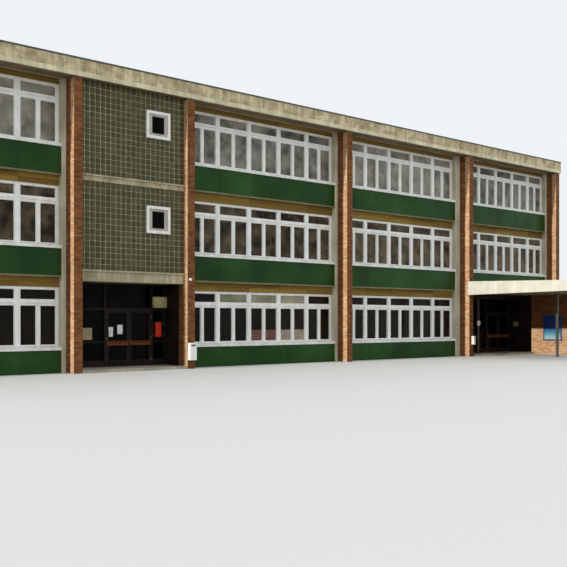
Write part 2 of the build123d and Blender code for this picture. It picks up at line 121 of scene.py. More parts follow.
scene.view_settings.view_transform = "Standard"
world = bpy.data.worlds.new("studio")
world.use_nodes = True
world.node_tree.nodes.clear()
scene.world = world
sky = add(world, "Background", {"Color": (0.93, 0.97, 1.0, 1.0), "Strength": SKY_LEVEL})[0]
backdrop = add(world, "Background", {"Color": (0.86, 0.90, 0.94, 1.0), "Strength": 1.0})[0]
add(world, "OutputWorld", {"Surface": add(world, "MixShader", {0: seen_straight(world), 1: sky, 2: backdrop})[0]})

lamp_data = bpy.data.lights.new("side_lamp", "SUN")
lamp_data.energy, lamp_data.angle, lamp_data.color = LAMP_LEVEL, LAMP_WIDTH, (1.0, 0.93, 0.82)
lamp = bpy.data.objects.new("side_lamp", lamp_data)
lamp.rotation_euler = (math.pi / 2 - LAMP_HEIGHT, 0.0, -LAMP_SIDE)
scene.collection.objects.link(lamp)
print("sky", SKY_LEVEL, "lamp", LAMP_LEVEL)

# %% [markdown]
# ## Meshes from arrays
# Nearly every small thing on this facade is a stack of rings: a brick, a panel, a bead round a pane, a bar.
# A ring is a closed row of corners, and a stack joins ring after ring with quads. With numpy one array holds
# thousands of such stacks, so a wall of bricks is one mesh and is made without a loop over its corners.

# %% Mesh helper
def stacks(name, rings, finish, slot, body="building", closed=False, smooth=False, tones=None):
    """Piece from rings, shaped count, rings, corners, 3, with corners anticlockwise seen from the end. Quads join
    each ring to the next one. A closed stack joins its last ring to the first; the others get a face at each end."""
    count, levels, corners, _ = rings.shape
    index = np.arange(count * levels * corners).reshape(count, levels, corners)
    low, high = (index, np.roll(index, -1, 1)) if closed else (index[:, :-1], index[:, 1:])
    faces = [np.stack([low, np.roll(low, -1, 2), np.roll(high, -1, 2), high], -1).reshape(-1, 4)]
    faces += [] if closed else [index[:, 0, ::-1], index[:, -1]]
    sizes = np.concatenate([np.full(len(face), face.shape[1]) for face in faces])
    loops = np.concatenate([face.ravel() for face in faces])
    mesh = bpy.data.meshes.new(name)
    mesh.vertices.add(index.size)
    mesh.vertices.foreach_set("co", rings.astype(np.float32).ravel())
    mesh.loops.add(len(loops))
    mesh.loops.foreach_set("vertex_index", loops.astype(np.int32))
    mesh.polygons.add(len(sizes))
    mesh.polygons.foreach_set("loop_start", (np.cumsum(sizes) - sizes).astype(np.int32))
    mesh.polygons.foreach_set("loop_total", sizes.astype(np.int32))
    mesh.polygons.foreach_set("use_smooth", np.full(len(sizes), smooth))
    mesh.update(calc_edges=True)
    if tones is not None:
        each = np.repeat(tones, levels * corners).astype(np.float32)
        mesh.attributes.new("tone", "FLOAT", "POINT").data.foreach_set("value", each)
    mesh.validate()
    piece = bpy.data.objects.new(name, mesh)
    scene.collection.objects.link(piece)
    mesh.materials.append(material_of[finish])
    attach(piece, body)
    print(f"{name}: {len(sizes)} faces, {int((sizes - 2).sum())} triangles")
    return piece


# %% [markdown]
# ## Reading the frame
# The model already knows where its fins, openings and rails are. The distinct coordinates of a node's corners
# give them back, so this script needs no list of places and follows the model when a size changes.

# %% Frame helpers
UP = np.array((0.0, 0.0, 1.0))
FRONT = np.array((0.0, -1.0, 0.0))
REAR = np.array((0.0, 1.0, 0.0))
LEFT = np.array((-1.0, 0.0, 0.0))
RIGHT = np.array((1.0, 0.0, 0.0))
BOTH = (("front", FRONT), ("rear", REAR))


def lines_of(node):
    """Distinct coordinates of a node's corners along each axis, in order."""
    mesh = nodes[node].data
    co = np.empty(len(mesh.vertices) * 3, np.float32)
    mesh.vertices.foreach_get("co", co)
    return [np.unique(np.round(along.astype(float), 4)) for along in co.reshape(-1, 3).T]


def skin(node, outward, step=0):
    """Coordinate of a node's outermost face on the side that outward points to, or of a line further in."""
    lines = lines_of(node)[int(np.abs(outward).argmax())]
    return lines[-1 - step] if outward.sum() > 0 else lines[step]


fin_x, eaves = lines_of("front_fins")[0].reshape(-1, 2), skin("front_fins", UP)
front_y, rear_y = skin("front_fins", FRONT), skin("rear_fins", REAR)
print("fins at", fin_x[:, 0], "front", front_y, "eaves", eaves)

# %% Stacks on walls, boxes and bars
DRAWN_IN = np.array((1.0, -1.0, 1.0, -1.0))
BOX_CORNERS = np.array([[(0, 0, z), (1, 0, z), (1, 1, z), (0, 1, z)] for z in (0, 1)])
CUT_END = ((1.0, 0.0),)
SOFT_END = ((0.6, 0.0), (0.9, 0.042), (1.0, 0.35))
FLAT_END = ((0.6, 0.0), (0.9, 0.024), (1.0, 0.2))


def on_wall(u, v, height, origin, outward):
    """Points on a wall: origin + u * along + v * up + height * outward."""
    return origin + u[..., None] * np.cross(UP, outward) + v[..., None] * UP + height * outward


def outline(rects, height, origin, outward):
    """Corners of rectangles (left, right, bottom, top) on a wall seen from outside."""
    return on_wall(rects[:, (0, 1, 1, 0)], rects[:, (2, 2, 3, 3)], height, origin, outward)


def rectangles_on(rects, origin, outward, levels):
    """Stacks of rectangles on a wall, at each (height off the wall, inset of the outline) in levels."""
    rects = np.asarray(rects, float).reshape(-1, 4)
    return np.stack([outline(rects + inset * DRAWN_IN, height, origin, outward) for height, inset in levels], 1)


def boxes(*spans):
    """Stacks of plain boxes from spans (low, high) along x, y and z; a single span on an axis serves all boxes."""
    spans = np.broadcast_arrays(*(np.asarray(span, float).reshape(-1, 2) for span in spans))
    return np.stack(spans, 1)[:, (0, 1, 2), BOX_CORNERS]


def bars(start, end, radius, corners=10, steps=CUT_END):
    """Stacks of round bars between arrays of points. Each step (share, along) is a circle of share * radius,
    along * radius in from the start, and the same steps in reverse lead out to the end."""
    start, end = (np.atleast_2d(np.asarray(point, float)) for point in (start, end))
    axis = (end - start) / np.linalg.norm(end - start, axis=1, keepdims=True)
    first = np.cross(np.where(np.abs(axis[:, 2:]) > 0.9, [[1.0, 0.0, 0.0]], [[0.0, 0.0, 1.0]]), axis)
    first /= np.linalg.norm(first, axis=1, keepdims=True)
    angle = (np.arange(corners) * 2 * math.pi / corners)[None, :, None]
    circle = radius * (np.cos(angle) * first[:, None] + np.sin(angle) * np.cross(axis, first)[:, None])
    rings = [(start + along * radius * axis)[:, None] + share * circle for share, along in steps]
    rings += [(end - along * radius * axis)[:, None] + share * circle for share, along in steps[::-1]]
    return np.stack(rings, 1)


print("a box has", BOX_CORNERS.shape[0], "rings of", BOX_CORNERS.shape[1], "corners")

# %% [markdown]
# ## Finishes
# No surface of an old building has one flat colour. Paint, concrete and enamel all share a recipe: a soft
# noise moves the colour between a dark and a light tone, a noise that is long in height draws the streaks
# that rain leaves, and a fine noise gives the grain as bump. The recipe is one function with named amounts.
# All patterns read Object coordinates, which are metres here, so a grain of 5 mm is 5 mm on every piece.

# %% Helpers for materials
EVEN = (1.0, 1.0, 1.0)
material_of = {}


def new_material(name, colour, roughness, shine=0.5, alpha=1.0, metal=0.0):
    """Material with one Principled shader, kept by its name. The frame brings some that are named alike."""
    material_of[name] = material = bpy.data.materials.new(name)
    material.use_nodes = True
    sockets = material.node_tree.nodes["Principled BSDF"].inputs
    for socket, value in (("Base Color", (*colour, 1.0)), ("Roughness", roughness), ("Specular IOR Level", shine),
                          ("Alpha", alpha), ("Metallic", metal)):
        sockets[socket].default_value = value
    return material


def feed(material, socket, output):
    """Joins an output to a socket of the material's shader."""
    material.node_tree.links.new(output, material.node_tree.nodes["Principled BSDF"].inputs[socket])


def place(material, axis):
    """One of the surface's Object coordinates."""
    return add(material, "SeparateXYZ", {0: add(material, "TexCoord")["Object"]})[axis]


def tone_of(material):
    """The tone that a piece carries for each of its stacks."""
    return add(material, "Attribute", attribute_name="tone")["Fac"]


def noise(material, scale, detail=4.0, stretch=EVEN):
    """Noise over Object coordinates, each axis multiplied by stretch first."""
    mapped = add(material, "Mapping", {"Vector": add(material, "TexCoord")["Object"], "Scale": stretch})[0]
    return add(material, "TexNoise", {"Vector": mapped, "Scale": scale, "Detail": detail, "Roughness": 0.55})["Fac"]


def ramp(material, factor, *stops):
    """Colour ramp with stops given as (place, colour)."""
    colour = add(material, "ValToRGB", {0: factor})["Color"]
    band = colour.node.color_ramp.elements
    while len(band) < len(stops):
        band.new(0.5)
    for element, (position, tint) in zip(band, stops):
        element.position = position
        element.color = (*tint, 1.0)
    return colour


def mix(material, factor, first, second, mode="MIX"):
    """Blend of two colours, each a value or another node's output."""
    first, second = (c if isinstance(c, bpy.types.NodeSocket) else (*c, 1.0) for c in (first, second))
    return add(material, "Mix", {0: factor, 6: first, 7: second}, data_type="RGBA", blend_type=mode)[2]


def roughen(material, scale, detail, strength, distance, stretch=EVEN):
    """Bump from a noise, whose height counts in metres times distance."""
    inputs = {"Height": noise(material, scale, detail, stretch), "Strength": strength, "Distance": distance}
    feed(material, "Normal", add(material, "Bump", inputs)["Normal"])


def weathered(name, dark, light, roughness, patch, grain, depth, streaks=0.0, shine=0.5, metal=0.0):
    """Dark to light in patches of about 1/patch metres, with rain streaks and a fine grain of bump."""
    middle = [(a + b) / 2 for a, b in zip(dark, light)]
    material = new_material(name, middle, roughness, shine, metal=metal)
    colour = ramp(material, noise(material, patch, 6.0), (0.35, dark), (0.65, light))
    if streaks:
        run = noise(material, 1.0, 3.0, (7.0, 7.0, 0.35))
        wash = ramp(material, run, (0.42, (0.42, 0.40, 0.35)), (0.60, (1.0, 1.0, 1.0)))
        colour = mix(material, streaks, colour, wash, "MULTIPLY")
    feed(material, "Base Color", colour)
    roughen(material, grain, 3.0, 0.5, depth)


print("a finish is mixed from patches, streaks and grain")

# %% Finishes of concrete, paint, metal and paper
FINISHES = (  # name, dark tone, light tone, roughness, patches, grain, depth of grain, streaks, shine, metal
    ("mortar", (0.125, 0.080, 0.050), (0.195, 0.130, 0.082), 0.95, 3.0, 260.0, 0.003, 0.0, 0.2),
    ("cast_concrete", (0.30, 0.27, 0.22), (0.46, 0.42, 0.34), 0.9, 0.9, 120.0, 0.003, 0.3),
    ("pale_concrete", (0.36, 0.31, 0.195), (0.54, 0.48, 0.31), 0.88, 1.6, 110.0, 0.003, 0.5),
    ("column_paint", (0.47, 0.435, 0.32), (0.66, 0.63, 0.48), 0.8, 1.1, 110.0, 0.002, 0.35),
    ("fascia_edge", (0.58, 0.53, 0.36), (0.77, 0.72, 0.51), 0.85, 2.0, 90.0, 0.003, 0.3),
    ("cement_board", (0.39, 0.31, 0.18), (0.73, 0.63, 0.40), 0.9, 3.2, 60.0, 0.004, 0.45),
    ("roof_felt", (0.075, 0.075, 0.072), (0.115, 0.113, 0.107), 0.95, 0.5, 300.0, 0.004),
    ("frame_paint", (0.80, 0.80, 0.77), (0.90, 0.90, 0.88), 0.42, 2.2, 150.0, 0.0006, 0.15),
    ("sill_paint", (0.72, 0.73, 0.69), (0.86, 0.87, 0.84), 0.55, 2.0, 120.0, 0.0012, 0.2),
    # Painted shade: the greyer paint of the stair windows' casements stands for their shaded reveal.
    ("casement_painted_shade", (0.36, 0.32, 0.27), (0.50, 0.46, 0.40), 0.5, 3.0, 150.0, 0.0006, 0.3),
    ("drip_paint", (0.145, 0.125, 0.060), (0.225, 0.195, 0.100), 0.55, 1.5, 120.0, 0.0008, 0.4),
    ("blind_paint", (0.20, 0.115, 0.045), (0.32, 0.19, 0.085), 0.6, 1.3, 80.0, 0.0015, 0.35),
    ("canopy_paint", (0.55, 0.535, 0.45), (0.66, 0.655, 0.59), 0.8, 1.8, 90.0, 0.002, 0.16),
    ("soffit_stain", (0.13, 0.085, 0.045), (0.24, 0.16, 0.09), 0.75, 2.0, 50.0, 0.002),
    # Painted shade: near-black boards for the recess walls, where the doors lie in deep shade.
    ("painted_shade_board", (0.007, 0.0045, 0.003), (0.018, 0.011, 0.008), 0.6, 1.4, 90.0, 0.001, 0.0, 0.15),
    ("dark_sheet", (0.045, 0.042, 0.038), (0.085, 0.08, 0.07), 0.45, 1.5, 120.0, 0.0008, 0.3),
    ("bronze_frame", (0.008, 0.006, 0.005), (0.018, 0.013, 0.010), 0.5, 2.0, 160.0, 0.0004, 0.0, 0.12),
    ("bar_lacquer", (0.120, 0.030, 0.005), (0.180, 0.048, 0.009), 0.4, 3.0, 200.0, 0.0003, 0.0, 0.15),
    ("worn_steel", (0.18, 0.17, 0.16), (0.30, 0.29, 0.27), 0.38, 4.0, 240.0, 0.0003, 0.0, 0.5, 0.8),
    ("notice_enamel", (0.010, 0.040, 0.17), (0.018, 0.070, 0.26), 0.35, 2.0, 150.0, 0.0005, 0.2),
    ("white_enamel", (0.84, 0.82, 0.79), (0.93, 0.91, 0.89), 0.35, 4.0, 160.0, 0.0004, 0.2),
    ("signal_red", (0.54, 0.022, 0.007), (0.70, 0.038, 0.011), 0.35, 4.0, 160.0, 0.0003),
    ("lamp_cover", (0.38, 0.35, 0.15), (0.60, 0.56, 0.26), 0.4, 3.0, 120.0, 0.0004),
    ("bare_plate", (0.30, 0.24, 0.12), (0.42, 0.34, 0.18), 0.6, 4.0, 150.0, 0.0004, 0.3),
    ("blank_paper", (0.66, 0.67, 0.66), (0.82, 0.83, 0.82), 0.8, 6.0, 200.0, 0.0003),
    ("film_red", (0.085, 0.030, 0.020), (0.150, 0.055, 0.035), 0.6, 5.0, 150.0, 0.0002),
    ("film_pale", (0.22, 0.165, 0.125), (0.36, 0.28, 0.22), 0.6, 5.0, 150.0, 0.0002),
    # Painted reflection: pale and dark patches for the sky and trees that the upper lights mirror.
    ("film_painted_sky", (0.105, 0.100, 0.062), (0.34, 0.325, 0.21), 0.6, 0.8, 150.0, 0.0002),
    ("panel_back", (0.008, 0.015, 0.010), (0.016, 0.028, 0.018), 0.7, 2.0, 150.0, 0.001),
    ("block_mortar", (0.29, 0.29, 0.17), (0.41, 0.41, 0.245), 0.9, 2.0, 150.0, 0.003, 0.3),
)
for row in FINISHES:
    weathered(*row)
print("finishes:", len(material_of))

# %% [markdown]
# ## Glass
# Window glass is nearly clear, but from outside a pane mostly shows a dark room and a weak reflection. Here a
# pane is a dark shader that lets a little of what lies behind it through, without the noise of true refraction.
# The higher a pane is, the paler its colour, and a slow noise makes it paler in patches: a painted reflection of
# the bright sky and the trees. The enamelled panels are opaque green glass: a deep colour under a smooth surface,
# with a slow unevenness that makes their reflections drift. Pressed glass blocks are murkier, with dust on them.

# %% Glass finishes
pane_glass = new_material("pane_glass", (0.004, 0.004, 0.003), 0.04, 0.10, 0.80)
storey_share = reckon(pane_glass, "MULTIPLY", place(pane_glass, 2), 0.1)


def painted_reflection_by_storey(ground, first, second):
    """Colour that changes with the height of the storeys: a painted reflection, paler higher up."""
    return ramp(pane_glass, storey_share, (0.30, ground), (0.45, first), (0.65, first), (0.80, second))


# Painted reflection: both tones grow paler from storey to storey, and the patches of noise mix the two.
clear = painted_reflection_by_storey((0.005, 0.004, 0.003), (0.022, 0.017, 0.010), (0.095, 0.092, 0.075))
bright_painted_reflection = painted_reflection_by_storey((0.020, 0.014, 0.008), (0.180, 0.140, 0.088), (0.40, 0.38, 0.315))
painted_reflection_patches = reckon(pane_glass, "ADD", noise(pane_glass, 0.11, 1.0), noise(pane_glass, 1.7, 5.0))
painted_reflection_patches = add(pane_glass, "MapRange", {"Value": painted_reflection_patches, "From Min": 0.82, "From Max": 1.20})[0]
feed(pane_glass, "Base Color", mix(pane_glass, painted_reflection_patches, clear, bright_painted_reflection))
roughen(pane_glass, 0.9, 1.0, 0.15, 0.03)
door_glass = new_material("door_glass", (0.003, 0.002, 0.002), 0.05, 0.04, 0.85)
roughen(door_glass, 0.7, 1.0, 0.15, 0.03)

enamel = new_material("green_enamel", (0.015, 0.075, 0.018), 0.16, 0.12)
deep = ramp(enamel, noise(enamel, 0.55, 2.0), (0.35, (0.0115, 0.047, 0.0075)), (0.65, (0.0205, 0.074, 0.013)))
tint = ramp(enamel, tone_of(enamel), (0.0, (0.78, 0.82, 0.78)), (1.0, (1.15, 1.12, 1.2)))
feed(enamel, "Base Color", mix(enamel, 1.0, deep, tint, "MULTIPLY"))
roughen(enamel, 1.4, 1.0, 0.2, 0.02)

pressed_glass = new_material("pressed_glass", (0.07, 0.072, 0.040), 0.22, 0.2)
murky = ramp(pressed_glass, tone_of(pressed_glass), (0.0, (0.058, 0.051, 0.021)), (0.6, (0.073, 0.064, 0.028)),
             (1.0, (0.094, 0.083, 0.039)))
dust = ramp(pressed_glass, noise(pressed_glass, 14.0), (0.40, (0.88, 0.88, 0.85)), (0.68, (1.18, 1.17, 1.10)))
feed(pressed_glass, "Base Color", mix(pressed_glass, 1.0, murky, dust, "MULTIPLY"))
roughen(pressed_glass, 22.0, 2.0, 0.25, 0.004)
print("pane, panel and block glass ready")

# %% Finishes of the model's own nodes
WORN_BY = {  # a name that starts with _ stands for the front and the rear node
    "cast_concrete": "ground_slab first_floor_slab second_floor_slab roof_slab canopy_slab _parapets",
    "fascia_edge": "long_fascias end_fascias",
    "dark_sheet": "long_cappings end_cappings canopy_posts",
    "mortar": "end_walls _fins hall_side_wall",
    # Painted shade: the recess walls wear the near-black board finish.
    "painted_shade_board": "stair_recess_walls hall_recess_wall",
    "column_paint": "_columns",
    "pale_concrete": "_bands",
    "panel_back": "_spandrels",
    "sill_paint": "_sills",
    "blind_paint": "_blind_boxes",
    "frame_paint": "front_windows_ground front_windows_first front_windows_second rear_windows stair_window_frames",
    "block_mortar": "_glass_blocks",
    "bronze_frame": "stair_screen hall_screen",
    "canopy_paint": "canopy_side_fascias canopy_front_fascia",
    "notice_enamel": "notice_board",
    "pane_glass": "_glass",
    "door_glass": "entrance_glass stair_window_glass",
}
dressed = [(finish, side + name) for finish, names in WORN_BY.items() for name in names.split()
           for side in (("front", "rear") if name[0] == "_" else ("",))]
for finish, node in dressed:
    nodes[node].data.materials.clear()
    nodes[node].data.materials.append(material_of[finish])
print(len(dressed), "nodes dressed")

# %% [markdown]
# ## Brickwork
# The fins, the end walls and the hall's side wall are faced with red-brown brick in stretcher bond, with joints
# of 12 mm. Real bricks catch light on their edges and stay true in every view, so each brick here is a low
# stack of two rings on the mortar of the wall, a bit smaller at its face. A random tone per brick, from a
# fixed seed, gives the mix of the kiln. The outer edge of each fin's left side and the foot of the side wall's
# left side get paler bricks: painted sunlight, where the low lamp from the left lights them.

# %% Brick finish
# Painted sunlight: bricks of the left faces within this depth of a fin's outer edge are paler, for the lit strip.
SUNLIT_EDGE_DEPTH = 0.26
EDGE_BLEND = 0.03
brick = new_material("brick", (0.28, 0.09, 0.035), 0.88, 0.15)
coded = tone_of(brick)
brick_tone = reckon(brick, "FRACT", coded)
fired = ramp(brick, brick_tone, (0.0, (0.140, 0.046, 0.015)), (0.3, (0.190, 0.064, 0.019)),
             (0.6, (0.240, 0.086, 0.027)), (0.85, (0.280, 0.112, 0.038)), (1.0, (0.200, 0.080, 0.030)))
# Painted sunlight: pale tones for the bricks that the low lamp lights.
painted_sunlit_tones = ramp(brick, brick_tone, (0.0, (0.50, 0.285, 0.150)), (0.5, (0.61, 0.385, 0.222)),
                (1.0, (0.72, 0.490, 0.300)))
off_middle = reckon(brick, "ABSOLUTE", reckon(brick, "SUBTRACT", place(brick, 1), (front_y + rear_y) / 2))
edge_from = (rear_y - front_y) / 2 - SUNLIT_EDGE_DEPTH
near_edge = add(brick, "MapRange", {"Value": off_middle, "From Min": edge_from, "From Max": edge_from + EDGE_BLEND})[0]
painted_sunlight_mask = reckon(brick, "MULTIPLY", reckon(brick, "GREATER_THAN", coded, 1.0), near_edge)
soot = ramp(brick, noise(brick, 0.8, 5.0), (0.36, (0.80, 0.78, 0.76)), (0.62, (1.0, 1.0, 1.0)))
feed(brick, "Base Color", mix(brick, 1.0, mix(brick, painted_sunlight_mask, fired, painted_sunlit_tones), soot, "MULTIPLY"))
roughen(brick, 130.0, 4.0, 0.7, 0.003)
print("painted sunlit edge of", SUNLIT_EDGE_DEPTH, "m")

# %% Brick helpers
BRICK_LENGTH = 0.240
BRICK_HEIGHT = 0.071
JOINT = 0.0123
BRICK_RELIEF = 0.006
BRICK_TAPER = 0.002
SMALLEST_CUT = 0.035
rng = np.random.default_rng(1963)


def stretcher_bond(width, height):
    """Rectangles of whole and cut bricks: odd courses start half a brick back, ends are cut to the width."""
    pitch_u, pitch_v = BRICK_LENGTH + JOINT, BRICK_HEIGHT + JOINT
    course, column = np.meshgrid(np.arange(int(height / pitch_v)), np.arange(int(width / pitch_u) + 2), indexing="ij")
    left = (column - 0.5 * (course % 2)) * pitch_u
    bottom = course * pitch_v + JOINT / 2
    rects = np.stack([np.clip(left, 0.0, width), np.clip(left + BRICK_LENGTH, 0.0, width), bottom,
                      bottom + BRICK_HEIGHT], -1).reshape(-1, 4)
    return rects[rects[:, 1] - rects[:, 0] > SMALLEST_CUT]


def brick_faces(low, high, *outwards):
    """Stacks of bricks on the given upright faces of a box, set out from each face's lower left corner."""
    low, high = np.asarray(low, float), np.asarray(high, float)
    found = []
    for outward in outwards:
        along = np.cross(UP, outward)
        origin = np.where((along < 0) | (outward > 0), high, low)
        origin[2] = low[2]
        rects = stretcher_bond(abs((high - low) @ along), high[2] - low[2])
        found.append(rectangles_on(rects, origin, outward, ((0.0, 0.0), (BRICK_RELIEF, BRICK_TAPER))))
    return found


def brick_piece(name, found, sunlit_below=0.0):
    """Joins the stacks to one piece. Tones up to 1 are the mix of the kiln. Bricks on faces to the left that lie
    lower than the given height carry a tone from 1 to 2: the finish paints sunlight on them near the outer edge."""
    rings = np.concatenate(found)
    leftward = rings[:, 0, 0, 0] - rings[:, 1, 0, 0] > BRICK_RELIEF / 2
    tones = 0.999 * rng.random(len(rings)) + (leftward & (rings[..., 2].mean((1, 2)) < sunlit_below))
    stacks(name, rings, "brick", "brick", tones=tones)


print("one square metre holds", len(stretcher_bond(1.0, 1.0)), "whole and cut bricks")

# %% Bricks on fins, end walls and the hall's side wall
for side, outward in BOTH:
    low_y, high_y = lines_of(f"{side}_fins")[1]
    brick_piece(f"{side}_fin_bricks", [face for left, right in fin_x for face in brick_faces(
        (left, low_y, 0.0), (right, high_y, eaves), outward, LEFT, RIGHT)], sunlit_below=eaves)
wall_x, wall_y, _ = lines_of("end_walls")
for side, (low_x, high_x), outward in (("left", wall_x[:2], LEFT), ("right", wall_x[-2:], RIGHT)):
    brick_piece(f"{side}_end_bricks", brick_faces((low_x, wall_y[0], 0.0), (high_x, wall_y[1], eaves), outward))

# From this line back to the screen, the side wall's left face gets near-black boards, not bricks: painted shade.
PAINTED_SHADE_FROM = -2.43
# Below this height the bricks on the side wall's left face are paler: painted sunlight up to the canopy's shadow.
CANOPY_SHADOW_HEIGHT = 1.40
stair_x, stair_y, (step_z, recess_z) = lines_of("stair_recess_walls")
side_x, side_y, side_z = lines_of("hall_side_wall")
screen_y = skin("stair_screen", FRONT)
brick_piece("side_wall_bricks",
            brick_faces((side_x[0], side_y[0], 0.0), (side_x[1], side_y[1], recess_z), FRONT, RIGHT)
            + brick_faces((side_x[0], side_y[0], 0.0), (side_x[1], PAINTED_SHADE_FROM, recess_z), LEFT)
            + brick_faces((side_x[1], side_y[1], 0.0), (side_x[2], side_y[2], side_z[-1]), FRONT), sunlit_below=CANOPY_SHADOW_HEIGHT)

# %% [markdown]
# ## Floor
# The floor is a pale sheet that catches the building's shadow. What it shows to the camera and in reflections
# is pale, but the light that it throws back up is weaker, so the undersides stay dark.

# %% Floor
FLOOR_SIZE = 600.0
floor_mesh = bpy.data.meshes.new("floor")
half = FLOOR_SIZE / 2
floor_mesh.from_pydata([(-half, -half, 0), (half, -half, 0), (half, half, 0), (-half, half, 0)], [], [(0, 1, 2, 3)])
floor = bpy.data.objects.new("floor", floor_mesh)
scene.collection.objects.link(floor)
floor_paint = new_material("floor_paint", (0.8, 0.8, 0.78), 0.9)
floor_tone = mix(floor_paint, seen_straight(floor_paint), (0.34, 0.33, 0.30), (0.60, 0.60, 0.59))
feed(floor_paint, "Base Color", floor_tone)
floor_mesh.materials.append(floor_paint)
print("floor", FLOOR_SIZE, "m wide")

# %% [markdown]
# ## Places on a wall
# Panels, boards, blocks and window parts all repeat along a facade and from floor to floor. Two lists, the
# spans along the wall and the heights, say where they are, and every pair of the two makes a rectangle.
# The same call then serves the front and the rear, because spans are turned round for a wall seen from behind.

# %% Helpers for walls
def facing(rects, outward):
    """World spans (low, high), with heights after them if any, as (left, right) seen from outside the wall."""
    rects = np.asarray(rects, float)
    if np.cross(UP, outward).sum() > 0:
        return rects
    return np.concatenate([-rects[..., 1::-1], rects[..., 2:]], -1)


def every_pair(spans, heights):
    """Rectangles of every span with every height."""
    spans, heights = np.asarray(spans, float).reshape(-1, 2), np.asarray(heights, float).reshape(-1, 2)
    return np.hstack([np.repeat(spans, len(heights), 0), np.tile(heights, (len(spans), 1))])


def plates(spans, heights, plane, outward, levels):
    """Stacks on the wall plane at a coordinate along outward's axis, for every span and height."""
    return rectangles_on(facing(every_pair(spans, heights), outward), plane * np.abs(outward), outward, levels)


def pieces_between(edges, gap):
    """Spans between neighbouring edges, shortened by half a gap at both ends."""
    edges = np.asarray(edges, float)
    return np.stack([edges[:-1] + gap / 2, edges[1:] - gap / 2], 1)


def even_edges(low, high, pitch):
    """Edges from low to high, evenly set, as near to the pitch as fits."""
    return np.linspace(low, high, max(1, round((high - low) / pitch)) + 1)


bays = lines_of("front_spandrels")[0].reshape(-1, 2)
modules = lines_of("front_windows_first")[0].reshape(len(bays), -1)[:, 1:-1].reshape(len(bays), -1, 4)
middles = (modules[:, :-1, 3] + modules[:, 1:, 0]) / 2
storeys = lines_of("front_spandrels")[2].reshape(-1, 2)
print(len(bays), "bays of", modules.shape[1], "window modules, spandrels at", storeys.tolist())

# %% [markdown]
# ## Enamelled glass panels
# Five sheets of green glass hide the wall under each row of windows. Their joints line up with the thick window
# posts. Each sheet is a thin plate with a ground edge, a few millimetres off a dark backing, so the joints
# read as fine dark lines and each sheet may differ a little in tone. A drip runs under the upper rows.

# %% Green panels and their drips
PANEL_GAP = 0.010
PANEL_LEVELS = ((0.0, 0.0), (0.004, 0.0), (0.006, 0.002))
PANEL_DRIP = (-0.055, 0.014)
PANEL_DRIP_REACH = 0.032
PANEL_DRIP_FALL = 0.012
panel_spans = np.concatenate([pieces_between([bay[0], *middle, bay[1]], PANEL_GAP)
                              for bay, middle in zip(bays, middles)])
class_spans = panel_spans[:-modules.shape[1]]


def storey_plates(side, outward, node, heights, levels):
    """Plates in every bay at all heights. The front of the hall bay has none in the lowest third of them."""
    plane, low = skin(node, outward), len(heights) // 3
    if side == "rear":
        return plates(panel_spans, heights, plane, outward, levels)
    return np.concatenate([plates(panel_spans, heights[low:], plane, outward, levels),
                           plates(class_spans, heights[:low], plane, outward, levels)])


def sloped_strips(spans, heights, plane, outward, reach, fall):
    """Strips whose top falls outwards: their outer edge is lower by fall."""
    rings = plates(spans, heights, plane, outward, ((0.0, 0.0), (reach * 0.6, 0.0), (reach, 0.0)))
    rings[:, 1, 2:, 2] -= fall * 0.6
    rings[:, 2, 2:, 2] -= fall
    return rings


panel_heights = storeys + (PANEL_GAP / 2, -PANEL_GAP / 2)
for side, outward in BOTH:
    rings = storey_plates(side, outward, f"{side}_spandrels", panel_heights, PANEL_LEVELS)
    stacks(f"{side}_green_panels", rings, "green_enamel", "green_glass", tones=rng.random(len(rings)))
for side, outward in BOTH:
    stacks(f"{side}_panel_drips", sloped_strips(bays, storeys[1:, :1] + PANEL_DRIP, skin(f"{side}_spandrels", outward),
                                                outward, PANEL_DRIP_REACH, PANEL_DRIP_FALL), "drip_paint", "fascia")

# %% [markdown]
# ## Boards over the windows
# Two stained boards cover the blind box over each window module. The joint between them and open joints
# between the lengths keep them from reading as a painted strip.

# %% Blind box boards
BOARD_GAP = 0.006
BOARD_LEVELS = ((0.0, 0.0), (0.010, 0.0), (0.014, 0.004))
box_heights = lines_of("front_blind_boxes")[2].reshape(-1, 2)
board_heights = np.concatenate([pieces_between(np.linspace(low, high, 3), BOARD_GAP) for low, high in box_heights])

tan_stain = new_material("tan_stain", (0.25, 0.15, 0.06), 0.7, 0.15)
stained = ramp(tan_stain, tone_of(tan_stain), (0.0, (0.190, 0.115, 0.022)), (0.5, (0.255, 0.162, 0.033)),
               (1.0, (0.330, 0.212, 0.046)))
veins = ramp(tan_stain, noise(tan_stain, 8.0, 6.0, (0.4, 1.0, 9.0)), (0.35, (0.72, 0.70, 0.66)),
             (0.62, (1.0, 1.0, 1.0)))
feed(tan_stain, "Base Color", mix(tan_stain, 1.0, stained, veins, "MULTIPLY"))
roughen(tan_stain, 30.0, 4.0, 0.4, 0.001, (0.3, 1.0, 6.0))
for side, outward in BOTH:
    rings = storey_plates(side, outward, f"{side}_blind_boxes", board_heights, BOARD_LEVELS)
    stacks(f"{side}_blind_boards", rings, "tan_stain", "tan_board", tones=rng.random(len(rings)))

# %% [markdown]
# ## Window joinery
# The frames of the model are square timbers. What makes them windows is the small work: a bead that holds each
# pane, a cover strip where two sashes meet, a slim post cover between two windows, a drip moulding over the
# sashes, and hinges. Beads are closed loops, a small profile carried round each opening.

# %% Beads round the panes
BEAD_WIDTH = 0.016
BEAD_DEPTH = 0.020
BEAD_PROFILE = ((0.0, 0.0), (0.0, 1.0), (0.35, 0.9), (0.8, 0.5), (1.0, 0.2), (1.0, 0.0))


def bead_loops(rects, plane, outward, width=BEAD_WIDTH, depth=BEAD_DEPTH):
    """Loops inside rectangles: each profile point (p, q) is the outline drawn in by p * width and raised by
    q * depth off the plane."""
    return rectangles_on(rects, plane * np.abs(outward), outward, [(q * depth, p * width) for p, q in BEAD_PROFILE])


